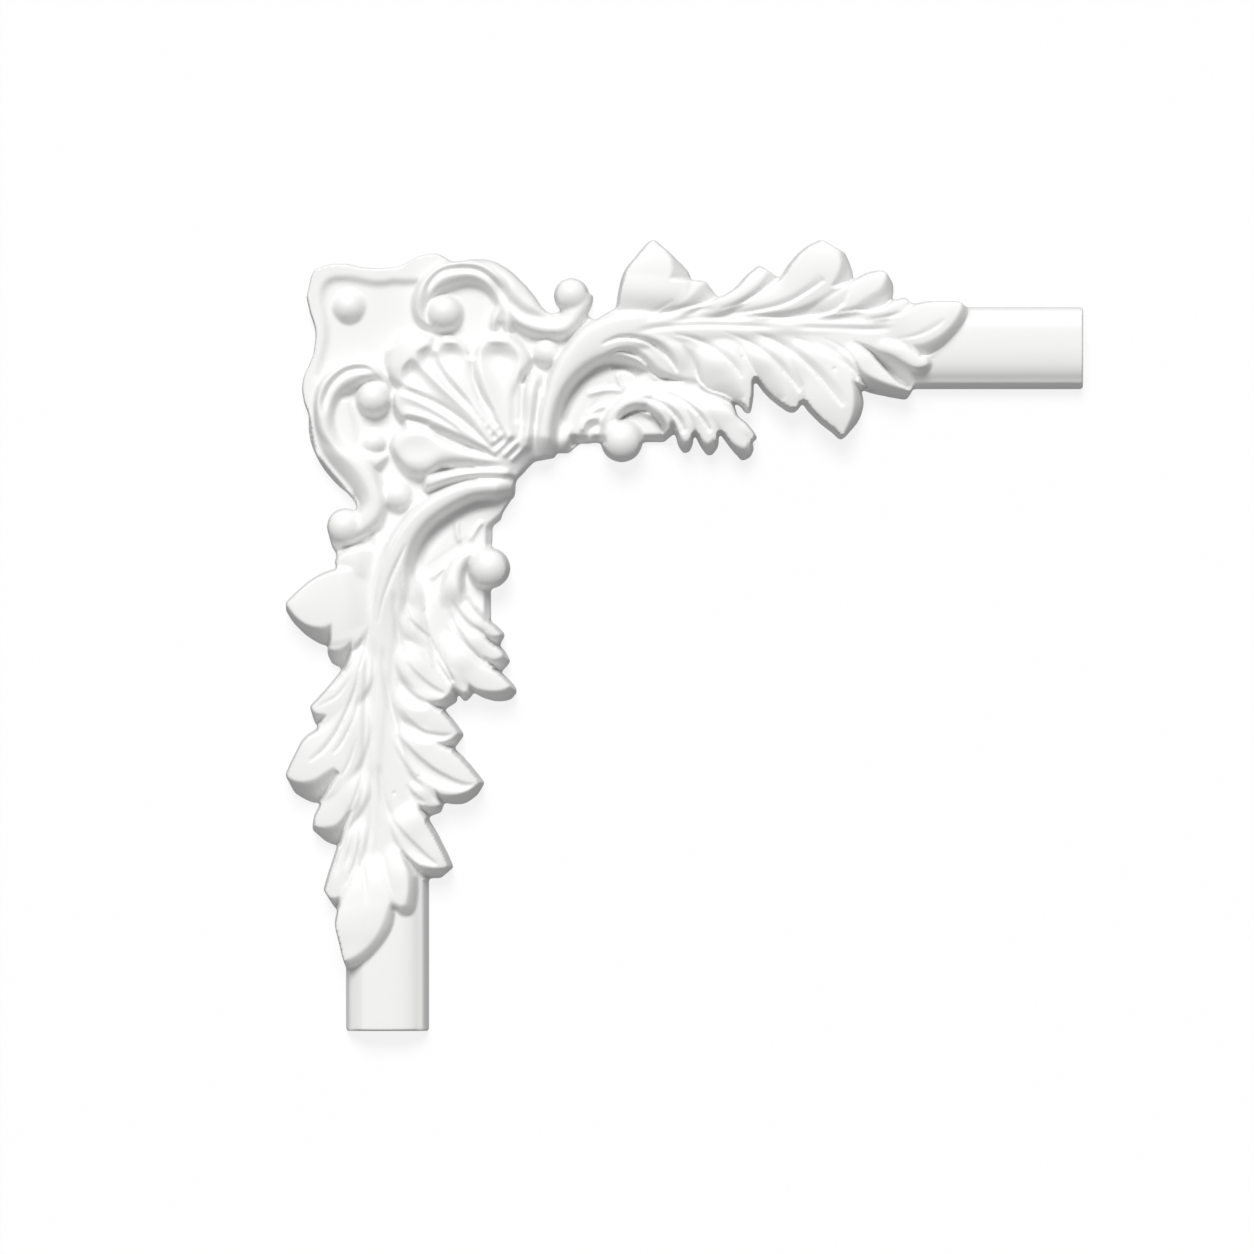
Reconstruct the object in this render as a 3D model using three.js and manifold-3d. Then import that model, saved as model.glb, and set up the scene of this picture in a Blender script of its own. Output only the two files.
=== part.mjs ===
// Ornamental corner for panel mouldings, one white casting with a flat back for gluing to a wall.
// Millimetres. X runs right along one arm, Z up, and the other arm runs down.
// The flat back lies in the plane y = 0 and the relief stands out towards -Y.
// The origin is where the centrelines of the two moulding stubs cross.
import * as THREE from "three";
import { mergeVertices } from "three/addons/utils/BufferGeometryUtils.js";
import Module from "manifold-3d";

const wasm = await Module();
wasm.setup();

// Driving dimensions
const RIGHT_REACH = 260.8; // origin to the cut end of the horizontal stub
const DOWN_REACH = 256; // origin to the cut end of the vertical stub
const STUB_HALF = 15.3; // half the width of the moulding the corner meets
const STUB_THICK = 10.6; // crest of the moulding above the wall
const STUB_WALL = 5.8; // height of its side walls
const STUB_START = 178; // where the stubs come out of the leaf sprays
const DRAFT = 1.4; // how far a side wall leans in over that height
const FLOOR = 5; // plate and webs between the ornaments
const RIM = 7; // raised rim of the corner plate
const BEHIND = 2; // overlap behind the wall plane, cut away at the end
const FINISH = 0xf3f3f1;

// Profiles across a leaf or band: share of its width, share of its height
const FOLD = [
  [0.07, 0.6],
  [0.33, 0.86],
  [0.55, 1],
  [0.78, 0.84],
  [0.93, 0.6],
];
const CRESCENT = [
  [0.1, 0.62],
  [0.35, 1],
  [0.85, 0.78],
  [0.94, 0.55],
];
const STALK = [
  [0.06, 0.6],
  [0.2, 0.86],
  [0.36, 0.8],
  [0.62, 1],
  [0.95, 0.62],
];
const BLADE = [
  [0.04, 0.82],
  [0.5, 1],
  [0.96, 0.82],
];
const FLUTE = [
  [0.07, 0.74],
  [0.3, 0.97],
  [0.7, 0.97],
  [0.93, 0.74],
];
const KNOB = [
  [0.08, 0.66],
  [0.25, 0.93],
  [0.68, 1],
  [0.96, 0.6],
];
const SCROLL = [
  [0.03, 0.62],
  [0.17, 1],
  [0.4, 0.76],
  [0.64, 0.84],
  [0.96, 0.66],
];
const SLOPE = [
  [0.03, 0.45],
  [0.5, 0.93],
  [0.64, 1],
  [0.96, 0.58],
];

// A closed mesh as a solid, turned right side out
function solid(positions, triangles) {
  let geometry = new THREE.BufferGeometry();
  geometry.setAttribute("position", new THREE.Float32BufferAttribute(positions, 3));
  geometry.setIndex(triangles);
  geometry = mergeVertices(geometry, 1e-4);
  const index = new Uint32Array(geometry.index.array);
  const p = geometry.attributes.position.array;
  let volume = 0;
  for (let i = 0; i < index.length; i += 3) {
    const [a, b, c] = [3 * index[i], 3 * index[i + 1], 3 * index[i + 2]];
    volume += p[a] * (p[b + 1] * p[c + 2] - p[b + 2] * p[c + 1]);
    volume += p[a + 1] * (p[b + 2] * p[c] - p[b] * p[c + 2]);
    volume += p[a + 2] * (p[b] * p[c + 1] - p[b + 1] * p[c]);
  }
  if (volume < 0) {
    for (let i = 0; i < index.length; i += 3) {
      [index[i + 1], index[i + 2]] = [index[i + 2], index[i + 1]];
    }
  }
  return new wasm.Manifold(
    new wasm.Mesh({ numProp: 3, vertProperties: new Float32Array(p), triVerts: index }),
  );
}

// Values between table rows, on a smooth curve through them
function smooth(rows, steps) {
  const out = [];
  for (let i = 0; i + 1 < rows.length; i += 1) {
    const [a, b, c, d] = [i - 1, i, i + 1, i + 2].map(
      (k) => rows[Math.min(Math.max(k, 0), rows.length - 1)],
    );
    for (let s = 0; s < steps; s += 1) {
      const t = s / steps;
      out.push(
        b.map(
          (v, k) =>
            0.5 *
            (2 * v +
              (c[k] - a[k]) * t +
              (2 * a[k] - 5 * v + 4 * c[k] - d[k]) * t * t +
              (3 * v - a[k] - 3 * c[k] + d[k]) * t * t * t),
        ),
      );
    }
  }
  out.push(rows[rows.length - 1]);
  return out;
}

// A leaf, flute or band between two edges: rows are x, z of one edge, x, z of the other, height
function band(rows, profile = FOLD, steps = 2) {
  const stations = smooth(rows, steps);
  const across = [[0, 0], ...profile, [1, 0]];
  const n = across.length;
  const positions = [];
  const triangles = [];
  for (const [ax, az, bx, bz, h] of stations) {
    for (const [u, f] of across) {
      const y = f === 0 ? BEHIND : -h * f;
      positions.push(ax + (bx - ax) * u, y, az + (bz - az) * u);
    }
  }
  for (let s = 0; s + 1 < stations.length; s += 1) {
    for (let k = 0; k < n; k += 1) {
      const [a, b] = [s * n + k, s * n + ((k + 1) % n)];
      triangles.push(a, b, b + n, a, b + n, a + n);
    }
  }
  for (const s of [0, stations.length - 1]) {
    const [ax, az, bx, bz] = stations[s];
    const hub = positions.length / 3;
    positions.push((ax + bx) / 2, 0, (az + bz) / 2);
    for (let k = 0; k < n; k += 1) {
      const [a, b] = [s * n + k, s * n + ((k + 1) % n)];
      triangles.push(hub, ...(s === 0 ? [b, a] : [a, b]));
    }
  }
  return solid(positions, triangles);
}

// A ball on a short stem: centre, radius, height above the wall
function ball(x, z, r, h, sides = 12) {
  const rings = [
    [1, -BEHIND],
    [1, h - 0.95 * r],
    [0.87, h - 0.47 * r],
    [0.5, h - 0.13 * r],
  ];
  const positions = [];
  const triangles = [];
  for (const [share, height] of rings) {
    for (let k = 0; k < sides; k += 1) {
      const a = (2 * Math.PI * k) / sides;
      positions.push(x + r * share * Math.cos(a), -height, z + r * share * Math.sin(a));
    }
  }
  const top = rings.length * sides;
  positions.push(x, -h, z, x, BEHIND, z);
  for (let k = 0; k < sides; k += 1) {
    const next = (k + 1) % sides;
    for (let ring = 0; ring + 1 < rings.length; ring += 1) {
      const [a, b] = [ring * sides + k, ring * sides + next];
      triangles.push(a, b, b + sides, a, b + sides, a + sides);
    }
    triangles.push(top - sides + k, top - sides + next, top, next, k, top + 1);
  }
  return solid(positions, triangles);
}

// A dish cut into the relief: centre, half-lengths, turn in degrees, depth of its floor above the wall
function dish(x, z, long, wide, turn, floor, sides = 10) {
  const lid = 30;
  const rings = [
    [1, lid],
    [1, floor + 3.5],
    [0.75, floor + 1.2],
  ];
  const c = Math.cos((turn * Math.PI) / 180);
  const s = Math.sin((turn * Math.PI) / 180);
  const positions = [];
  const triangles = [];
  for (const [share, height] of rings) {
    for (let k = 0; k < sides; k += 1) {
      const a = (2 * Math.PI * k) / sides;
      const [u, v] = [long * share * Math.cos(a), wide * share * Math.sin(a)];
      positions.push(x + u * c - v * s, -height, z + u * s + v * c);
    }
  }
  const end = rings.length * sides;
  positions.push(x, -floor, z, x, -lid, z);
  for (let k = 0; k < sides; k += 1) {
    const next = (k + 1) % sides;
    for (let ring = 0; ring + 1 < rings.length; ring += 1) {
      const [a, b] = [ring * sides + k, ring * sides + next];
      triangles.push(a, b, b + sides, a, b + sides, a + sides);
    }
    triangles.push(end - sides + k, end - sides + next, end, next, k, end + 1);
  }
  return solid(positions, triangles);
}

// A flat outline carried through rings of points, closed at the first and the last ring
function skin(outline, rings) {
  const corners = outline.map(([u, v]) => new THREE.Vector2(u, v));
  const n = outline.length;
  const end = (rings.length - 1) * n;
  const triangles = [];
  for (const [a, b, c] of THREE.ShapeUtils.triangulateShape(corners, [])) {
    triangles.push(a, b, c, end + a, end + c, end + b);
  }
  const forward = THREE.ShapeUtils.area(corners) > 0;
  for (let s = 0; s + 1 < rings.length; s += 1) {
    for (let k = 0; k < n; k += 1) {
      const next = (k + 1) % n;
      const [a, b] = forward ? [s * n + next, s * n + k] : [s * n + k, s * n + next];
      triangles.push(a, b, b + n, a, b + n, a + n);
    }
  }
  return solid(rings.flat(2), triangles);
}

// A plate from an outline of x, z points, between two heights above the wall
function plate(outline, low, high) {
  return skin(
    outline,
    [low, high].map((height) => outline.map(([x, z]) => [x, -height, z])),
  );
}

// Moulding stubs: a short bevel on the outer side, a flat crest, a long roll on the inner side
const MOULDING = [
  [-STUB_HALF, -BEHIND],
  [-STUB_HALF, 0],
  [-STUB_HALF + DRAFT, STUB_WALL],
  [-10, STUB_THICK - 1.3],
  [-7.5, STUB_THICK - 0.3],
  [0, STUB_THICK],
  [5.5, STUB_THICK - 0.4],
  [9.3, STUB_THICK - 1.6],
  [12.2, STUB_THICK - 3.3],
  [STUB_HALF - DRAFT, STUB_WALL - 0.6],
  [STUB_HALF, 0],
  [STUB_HALF, -BEHIND],
];
const END_SOFT = 1.6; // length over which a stub's front edge is rounded off at its cut end

function stub(from, to, place) {
  const stops = [
    [from, 0],
    [to - END_SOFT, 0],
    [to, 0.12],
  ];
  return skin(
    MOULDING,
    stops.map(([along, lowered]) =>
      MOULDING.map(([u, height]) => place(along, u, -height * (1 - lowered))),
    ),
  );
}

const solids = [];
solids.push(stub(STUB_START, RIGHT_REACH, (along, u, y) => [along, y, -u]));
solids.push(stub(STUB_START, DOWN_REACH, (along, u, y) => [u, y, -along]));

// Corner plate with a raised rim, and the floor under scrolls and shell
const PLATE = [
  [-28.3, 27.2],
  [-30.4, 19],
  [-29, 12.7],
  [-27, 5],
  [-27.7, -2],
  [-31.4, -10.5],
  [-32.2, -15.2],
  [-31.2, -21],
  [-29, -27],
  [-27, -40],
  [-12, -58],
  [-10, -70],
  [0, -82],
  [14, -82],
  [42, -62],
  [47.3, -50.8],
  [55, -42.7],
  [64, -39],
  [84, -12],
  [84, 8],
  [70, 14],
  [59.5, 13],
  [54.2, 20.6],
  [46.8, 27.9],
  [36, 32.2],
  [24.4, 32.6],
  [20.2, 34.9],
  [15.5, 35.6],
  [10.5, 34],
  [5, 30.8],
  [-3, 29.9],
  [-10.4, 30.5],
  [-17, 31.7],
  [-24, 31],
];
const PANEL = [
  [2, 24.5],
  [-4, 23.7],
  [-14.6, 25.6],
  [-19.3, 25.6],
  [-22.8, 23.8],
  [-24, 19],
  [-22.4, 7.4],
  [-22.5, 1],
  [-25.6, -10],
  [-25, -13.6],
  [-14, -20],
  [-8, -45],
  [0, -62],
  [40, -50],
  [60, -20],
  [70, 8],
  [44, 24],
  [18, 24],
];
let corner = plate(PLATE, -BEHIND, RIM).subtract(plate(PANEL, FLOOR, RIM + 9));

// Floors between the stalks and the inner leaf scrolls
const WEBS = [
  [
    [60, -39.5],
    [68, -39.5],
    [72, -35.8],
    [104, -35.2],
    [116, -24],
    [120, -8],
    [84, 2],
    [62, -10],
  ],
  [
    [47, -56],
    [43.2, -62],
    [42.5, -64.5],
    [39.3, -67],
    [38.7, -103.5],
    [30, -116],
    [10, -116],
    [-2, -84],
    [14, -60],
  ],
];
for (const web of WEBS) {
  corner = corner.add(plate(web, -BEHIND, FLOOR));
}
solids.push(corner);

// Core of the corner behind the shell's root and the collars
const CORE = [
  [36, -30],
  [48, -28],
  [57, -30],
  [57, -41.8],
  [54.5, -42.8],
  [47.5, -50.3],
  [46.5, -53],
  [34, -53],
  [32, -40],
];
solids.push(plate(CORE, -BEHIND, 13));

// Beads and scroll balls: x, z, radius, height
const BALLS = [
  [-14.2, 15.2, 6.1, 10],
  [21.7, 12.7, 6.5, 13.5],
  [-4.9, -19.4, 6.3, 13.5],
  [69, 19.6, 6.6, 13.5],
  [-15.7, -67, 7, 13.5],
  [60, -2.6, 4.2, 9],
  [-4.6, -35.5, 4.2, 9],
  [5, -55.8, 5, 10],
  [87.8, -35, 7.8, 15],
  [38.3, -82.5, 7.7, 15],
];
for (const [x, z, r, h] of BALLS) {
  solids.push(ball(x, z, r, h));
}

// Scrolls on the two outer sides of the shell
const TOP_C = [
  [17, 6.2, 19, 9, 9],
  [11.5, 9.5, 16.5, 11, 10],
  [9.8, 15.5, 16, 14.5, 11],
  [11, 21.5, 17.5, 18, 12],
  [14.8, 27, 20.5, 20.5, 12],
  [20.5, 31, 24.5, 22.3, 12],
  [28.5, 32.6, 29.5, 23.7, 12],
  [36.5, 31.6, 34.2, 23, 12],
  [42.5, 27, 38.4, 20, 12],
  [45.8, 19.5, 41, 14.8, 11],
  [46.3, 10, 41.5, 9, 10],
];
const TOP_S = [
  [30, 33.2, 33, 29.5, 8],
  [38, 32.8, 40.5, 28, 10],
  [44, 30.2, 44.5, 20, 11],
  [48, 27, 45.5, 13, 12],
  [52, 23, 47.3, 8.3, 12],
  [55.3, 19, 53, 4.9, 12],
  [58.5, 14.5, 60, 3.4, 12],
  [62.5, 12.2, 67.5, 4, 12],
  [65, 13, 72.5, 8.8, 11.5],
  [66, 16, 76.3, 15.5, 11],
  [67, 19, 77, 20, 9],
];
const LEFT_C = [
  [1.8, -17, -1.8, -15.5, 9],
  [0, -10.8, -3.5, -13.2, 10.5],
  [-5, -6, -7, -13, 11.5],
  [-12.5, -5, -12, -15.5, 12],
  [-19, -7.5, -15.5, -17.5, 12],
  [-24.5, -12.5, -18, -20.5, 12],
  [-27, -19, -19.4, -25, 12],
  [-27.2, -26, -19.2, -30, 12],
  [-25.8, -32.5, -17.7, -33.5, 12],
  [-21.5, -38, -14.5, -36.5, 11.5],
  [-15, -42, -10.5, -38, 11],
  [-8, -44.5, -7, -38, 10.5],
  [-3.5, -45.8, -2.5, -38.5, 9.5],
  [0.3, -42, 0, -39, 8],
];
const LEFT_S = [
  [-29, -22, -24, -24, 8],
  [-29.4, -29, -22, -28, 10],
  [-28.3, -36.2, -18, -34.5, 11],
  [-24.3, -44.5, -13, -38.5, 12],
  [-19, -50.8, -6, -43, 12],
  [-14, -55.2, -2.2, -50, 12],
  [-11.4, -58.5, 0, -58, 12],
  [-11.7, -61.5, -2, -65, 12],
  [-13, -63.5, -7.5, -70.3, 11.5],
  [-15, -65, -14.5, -73.4, 11],
];
const SMALL_ENDS = [
  [
    [41, 16, 45, 16, 9],
    [38.8, 9.5, 42.4, 9.5, 10],
    [39.5, 5.3, 41.8, 5.3, 8],
  ],
  [
    [44, 16, 49, 15, 10],
    [43, 9.5, 48.4, 9.5, 10],
    [44.5, 4.5, 47, 4.5, 8],
  ],
  [
    [-22.6, -67, -9, -71, 9],
    [-20.8, -74, -15, -73.8, 8],
    [-18.9, -76.8, -17.8, -76.6, 6],
  ],
];
solids.push(band(TOP_C, SCROLL, 2));
solids.push(band(TOP_S, SLOPE, 2));
solids.push(band(LEFT_C, SCROLL, 2));
solids.push(band(LEFT_S, SLOPE, 2));
for (const rows of SMALL_ENDS) {
  solids.push(band(rows, CRESCENT, 1));
}

// Shell: a bed, and flutes that fan out from the inner corner, each row an edge pair and a height
const SHELL_BED = [
  [46, -45],
  [30, -46],
  [16, -44.5],
  [7, -40],
  [6.5, -29],
  [5.5, -16],
  [17.5, -1],
  [31.5, -4],
  [51, -14],
  [58, -14],
  [60, -28],
  [57, -40],
];
solids.push(plate(SHELL_BED, -BEHIND, 11.5));
const SHELL = [
  [
    [38, -38, 41, -34, 17],
    [25, -26, 32, -18, 16],
    [12, -18.5, 24, -8, 15],
    [4.5, -15, 18.8, -2, 13],
    [0.2, -9, 17, 3.4, 12.5],
    [0, -2, 9.5, 6.2, 11.5],
  ],
  [
    [42, -36, 44, -33, 17],
    [31, -24, 37, -21, 16],
    [23, -12, 31.5, -10, 15],
    [18.3, -2.5, 31, -3.5, 13],
    [18.6, 1, 30, 0, 12.5],
    [21, 3.8, 26.5, 3.2, 11.5],
  ],
  [
    [44, -36, 49, -33, 17],
    [36, -21, 48, -20, 16],
    [32.3, -10, 50.5, -12.5, 15],
    [32.4, -4, 53.8, -6, 13],
    [33.8, 0.5, 52.5, -1.2, 12.5],
    [37, 4.2, 47.5, 4, 11.5],
  ],
  [
    [49.5, -38, 54.5, -38, 17],
    [50.5, -28, 56, -28, 15.5],
    [50.6, -18, 57.5, -18, 14.5],
    [52, -12.5, 58.2, -12.5, 13],
    [54, -10.2, 57.3, -10.1, 11],
  ],
  [
    [42, -38.5, 40, -41.5, 16.5],
    [30, -28.5, 28, -35.5, 16],
    [20, -21.8, 17, -31, 15],
    [11, -17.5, 9, -28.2, 14],
    [5, -15.5, 5.5, -27.3, 12.5],
    [2.6, -18, 3.2, -24, 11],
  ],
  [
    [46, -45.3, 46, -49.2, 16.5],
    [36, -45.3, 36, -49.3, 15.5],
    [25, -45.8, 25, -51.2, 14.5],
    [18, -47, 17.5, -53.5, 13],
    [14.3, -49, 14.3, -53.5, 11],
  ],
];
for (const rows of SHELL) {
  solids.push(band(rows, FLUTE, 1));
}
const SHELL_KNOB = [
  [44, -41.5, 43, -45.3, 16],
  [32, -37.5, 30, -45, 15],
  [22, -33, 21, -45.5, 14.5],
  [15, -29.3, 15, -49, 14],
  [8.5, -28.8, 8, -47.7, 13],
  [3.5, -32, 4.3, -43.5, 12],
  [1.7, -35.5, 1.9, -39.5, 10.5],
];
solids.push(band(SHELL_KNOB, KNOB, 1));

// Dishes under the shell's rim: x, z, half-lengths, turn, floor
const DISHES = [
  [7.6, -7.3, 4.2, 3, -35, 9],
  [13.6, -3.2, 5, 3.6, -60, 9],
  [23.6, -2.6, 5, 4, 0, 9],
  [41, -3, 6.6, 4.6, 0, 9],
];

// Short ribs across the shell's root: x, z, half-length
const RIBS = [
  [37.3, -32.2, 2.4],
  [40.3, -34.8, 2.7],
  [43.2, -37.2, 2.7],
  [46, -39.6, 2.6],
  [48.6, -41.8, 2.4],
];
for (const [x, z, half] of RIBS) {
  const rib = [
    [x - half, z - half + 1.4, x - half + 1.4, z - half, 17.6],
    [x + half - 1.4, z + half, x + half, z + half - 1.4, 17.6],
  ];
  solids.push(band(rib, [[0.5, 1]], 1));
}

// Stalks that leave the collars, sweep round and run out as midribs
const STALKS = [
  [
    [55.6, -42.3, 62.8, -41, 15],
    [55.8, -32, 63.2, -31, 15],
    [57.5, -22, 65.5, -21.5, 15],
    [61, -10, 69.5, -14.5, 15],
    [66.8, 0, 76, -8.5, 15],
    [76, 9, 84, -4.5, 15],
    [90, 13, 92, -2, 14],
    [112, 12.5, 112, 1, 12],
    [150, 10.5, 150, 3, 12],
    [200, 10, 200, 6, 11],
  ],
  [
    [48, -49.7, 47.5, -56, 15],
    [36, -49.4, 36, -56.7, 15],
    [25, -51.4, 28, -59.3, 15],
    [13, -58, 18, -65.5, 15],
    [4, -67, 12, -72.8, 15],
    [-1, -76, 9.3, -81, 15],
    [-5, -90, 8.5, -92, 14],
    [-7, -112, 4, -112, 12],
    [-7, -150, 0, -150, 12],
    [-8, -200, -4, -200, 11],
  ],
];
for (const rows of STALKS) {
  solids.push(band(rows, STALK, 2));
}

// Blades that join the leaflets: rows are a notch on each side and a height
const BLADES = [
  [
    [70, 4, 80, -6, 10],
    [84, 14, 92, -6, 11],
    [100, 18.5, 104, -11, 11],
    [113.5, 23.5, 118, -13.5, 11],
    [124, 18.3, 137, -10.8, 11],
    [147.3, 24.5, 155, -16, 11.5],
    [174, 23.5, 175.5, -13.5, 11.5],
    [189, 16.8, 185, -5.5, 11.5],
    [198, 16.5, 196, -1, 11.5],
  ],
  [
    [-4, -70, 6, -76, 10],
    [-10, -84, 9, -88, 11],
    [-14, -98, 14, -98, 11],
    [-20, -112, 17, -112, 11],
    [-15, -121, 19, -124, 11],
    [-26, -141.5, 20.5, -147, 11.5],
    [-24, -169.5, 20, -169.5, 11.5],
    [-18, -185.5, 15, -177, 11.5],
    [-17, -197, 11.3, -197, 11.5],
    [-17.5, -209.5, 3.5, -210, 11.5],
  ],
  [
    [92, -17, 96, -25, 9],
    [100, -14, 104, -28, 9],
    [108, -12, 112, -29, 9],
    [122, -12, 124, -30, 9],
    [130, -22, 133, -31, 8.5],
  ],
  [
    [20, -88, 30, -93, 9],
    [15, -98, 33, -100, 9],
    [14, -110, 37, -110, 9],
    [19, -122, 40, -122, 9],
    [25, -126, 38, -128, 8.5],
  ],
];
for (const rows of BLADES) {
  solids.push(band(rows, BLADE, 1));
}

// Leaflets of the horizontal spray, root first
const RIGHT_LEAF = [
  [
    [85, 8, 101, 9, 12],
    [86.3, 19, 111, 17, 14],
    [88.5, 28, 113.5, 26.5, 14],
    [93, 34, 107.5, 34, 12],
    [97.3, 39, 101.7, 39.2, 9],
  ],
  [
    [100, 12, 104, 7.5, 11],
    [108, 19.5, 112, 12, 13],
    [114, 25, 120, 15.5, 12],
    [119.5, 24.6, 124, 18.4, 9],
  ],
  [
    [108, 13, 112, 8, 11],
    [121, 17.5, 124, 11.5, 13],
    [129, 21.5, 137, 18, 14],
    [135, 27.5, 145, 24, 12],
    [139.5, 31, 147, 26, 9],
  ],
  [
    [122, 14, 128, 8.5, 11],
    [137, 18.5, 141, 10, 13],
    [146, 25, 155, 13.5, 14],
    [151, 32, 166, 19.5, 15],
    [157, 37.8, 174.2, 26, 14],
    [163, 40.5, 171.5, 35.5, 10],
  ],
  [
    [150, 13, 152, 7.5, 11],
    [163, 18, 166, 10.5, 13],
    [171, 23, 176, 12.5, 13],
    [178, 27.3, 186.5, 15.2, 12],
    [184, 28.8, 189.2, 20, 9],
  ],
  [
    [168, 13, 170, 7, 10],
    [181, 14.5, 184, 9, 11.5],
    [189, 17.5, 192, 11.5, 11],
    [194, 19, 197.7, 15.5, 9],
  ],
  [
    [178, 10, 180, 2, 10],
    [192, 13.5, 193, -0.5, 12.5],
    [200, 17, 201, -3.5, 13],
    [208, 17.3, 208, 0.8, 12],
    [214, 17.2, 214, 7.5, 11],
    [216.4, 15.5, 216.7, 11.5, 9],
  ],
  [
    [178, 4, 177, 0, 9],
    [188, 2, 186, -3, 11],
    [196, 0, 192, -6.5, 11.5],
    [201.5, -4, 197, -9, 10.5],
    [202.7, -6.5, 201, -8.5, 9],
  ],
  [
    [165, 5, 160, 1, 9],
    [176, 0.5, 168, -8, 11],
    [185, -6.5, 178, -15.5, 11.5],
    [191, -11.5, 187, -18, 10.5],
    [196.7, -16, 194.5, -19.3, 8],
  ],
  [
    [146, 6, 140, 3, 10],
    [160, 1, 149, -5, 13],
    [172, -6.5, 154.5, -14, 15],
    [178, -18, 156, -21, 15],
    [177, -26, 161, -27, 13],
    [173, -31.5, 167.5, -32, 10],
  ],
  [
    [135, 6, 128, 4, 10],
    [146, 0, 135, -5, 13],
    [152, -8, 138, -12, 14],
    [156, -16, 142.5, -18, 12.5],
    [154.7, -21.5, 149, -23.3, 9.5],
  ],
  [
    [120, 7, 112, 3, 10],
    [130, 0, 116, -7, 13],
    [136.5, -8, 118, -15, 14],
    [137.2, -15.5, 126, -18.5, 12.5],
    [136.5, -21.5, 132, -21.5, 10],
    [135.8, -24.5, 134.2, -24.2, 8.5],
  ],
];
const LEFT_LEAF = [
  [
    [0, -76, -3, -90, 11],
    [-10, -74.5, -10, -86, 11],
    [-17, -77, -16.5, -83, 9],
    [-19.8, -80, -18.5, -82.8, 7],
  ],
  [
    [-3, -84, 0, -102, 12],
    [-14, -82.5, -12, -109, 14],
    [-21, -83.2, -22, -111.5, 14],
    [-28, -86.5, -29, -108.5, 13],
    [-34, -91.5, -34.5, -103.5, 11],
    [-38, -95.5, -37.8, -98.5, 8],
  ],
  [
    [-10, -96, -3, -98, 11],
    [-17, -106, -8, -108, 12],
    [-22.3, -113, -12.5, -114, 11],
    [-20.5, -118.3, -16, -120.3, 8],
  ],
  [
    [-6, -108, 0, -112, 11],
    [-12.5, -115, -5, -125, 13],
    [-18.5, -122.5, -12, -136, 13.5],
    [-24, -129, -20, -141, 12],
    [-29, -134.3, -27, -140.8, 8.5],
  ],
  [
    [-8, -122, -2, -126, 11],
    [-14, -132, -5, -142, 13],
    [-22, -140.5, -10, -157, 14],
    [-30.5, -145.5, -19, -167, 15],
    [-35, -153, -27, -170.3, 13],
    [-38.2, -160, -34.5, -166.8, 9],
  ],
  [
    [-9, -150, -3, -154, 11],
    [-14, -160, -6, -167, 13],
    [-22, -167, -12, -178, 13],
    [-27, -174.5, -18, -185.7, 11],
    [-28, -180.5, -23, -184.8, 8],
  ],
  [
    [-8, -168, -3, -171, 10],
    [-12.5, -178, -7, -184, 12],
    [-18, -185.5, -10, -198, 12],
    [-21.5, -195, -14.5, -208, 11],
    [-23.9, -203, -19.5, -210, 8],
  ],
  [
    [-9, -185, -3, -185, 10],
    [-13, -197, 0, -195, 12],
    [-18, -209, 3, -206, 13],
    [-19.5, -216, 2.6, -216, 12.5],
    [-18, -223, -2, -223.5, 11.5],
    [-16.6, -229, -8, -229.3, 10],
    [-15.3, -232, -12.5, -231.7, 9],
  ],
  [
    [-4, -184, 1, -182, 10],
    [0, -196, 6.5, -190, 11.5],
    [2.5, -206, 11.7, -198, 12],
    [4, -211.5, 11.8, -207, 11],
    [7, -214, 10.8, -212.5, 9],
  ],
  [
    [0, -168, 6, -165, 10],
    [2, -180, 12, -172, 13],
    [7, -190, 17.5, -180, 13],
    [13, -198, 22, -188.5, 12],
    [20, -198.5, 24.6, -194.6, 9],
  ],
  [
    [5, -160, 12, -158, 11],
    [9, -166, 17, -163, 12],
    [12, -171, 21, -169, 11],
    [15, -175.7, 20, -174, 8],
  ],
  [
    [0, -138, 5, -134, 11],
    [4, -150, 14, -141, 13.5],
    [11, -161, 22, -147.5, 15],
    [20, -169.5, 29, -154, 14],
    [28, -170.8, 34, -160, 12],
    [33.5, -167.5, 36.3, -163, 8.5],
  ],
  [
    [0, -124, 5, -120, 11],
    [5, -137, 12, -127, 13],
    [13, -145, 20, -134.5, 13],
    [20, -148, 25, -140, 11],
    [25.5, -149.3, 28.6, -145, 8],
  ],
  [
    [0, -110, 5, -106, 11],
    [5, -122, 12, -113, 13],
    [12, -130.5, 19, -121, 13],
    [18, -134.3, 25, -128, 11],
    [22, -135, 26, -132.5, 8.5],
  ],
];
for (const rows of [...RIGHT_LEAF, ...LEFT_LEAF]) {
  solids.push(band(rows, FOLD, 1));
}

// Crescents that curl in under the first leaflets
const CRESCENTS = [
  [
    [88, 6, 88, 2, 10],
    [100, 5, 98, -0.5, 12],
    [110, 1, 103, -5, 12.5],
    [113.8, -6, 105, -9.5, 11],
    [113, -11.5, 107, -12.3, 8],
  ],
  [
    [80, 1, 80, -4, 9],
    [90, 1.5, 90, -3.5, 11],
    [99, -2, 95.5, -6, 11],
    [104, -8, 98.5, -10, 9],
    [105, -11.5, 99, -12.5, 7],
  ],
  [
    [4, -88, 9, -84, 11],
    [7, -96, 13, -90, 11],
    [11, -101, 15.5, -97, 9],
  ],
  [
    [2, -98, 8, -92, 11],
    [6, -108, 14, -100, 12],
    [12, -113, 17, -108, 10],
  ],
];
for (const rows of CRESCENTS) {
  solids.push(band(rows, CRESCENT, 1));
}

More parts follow.
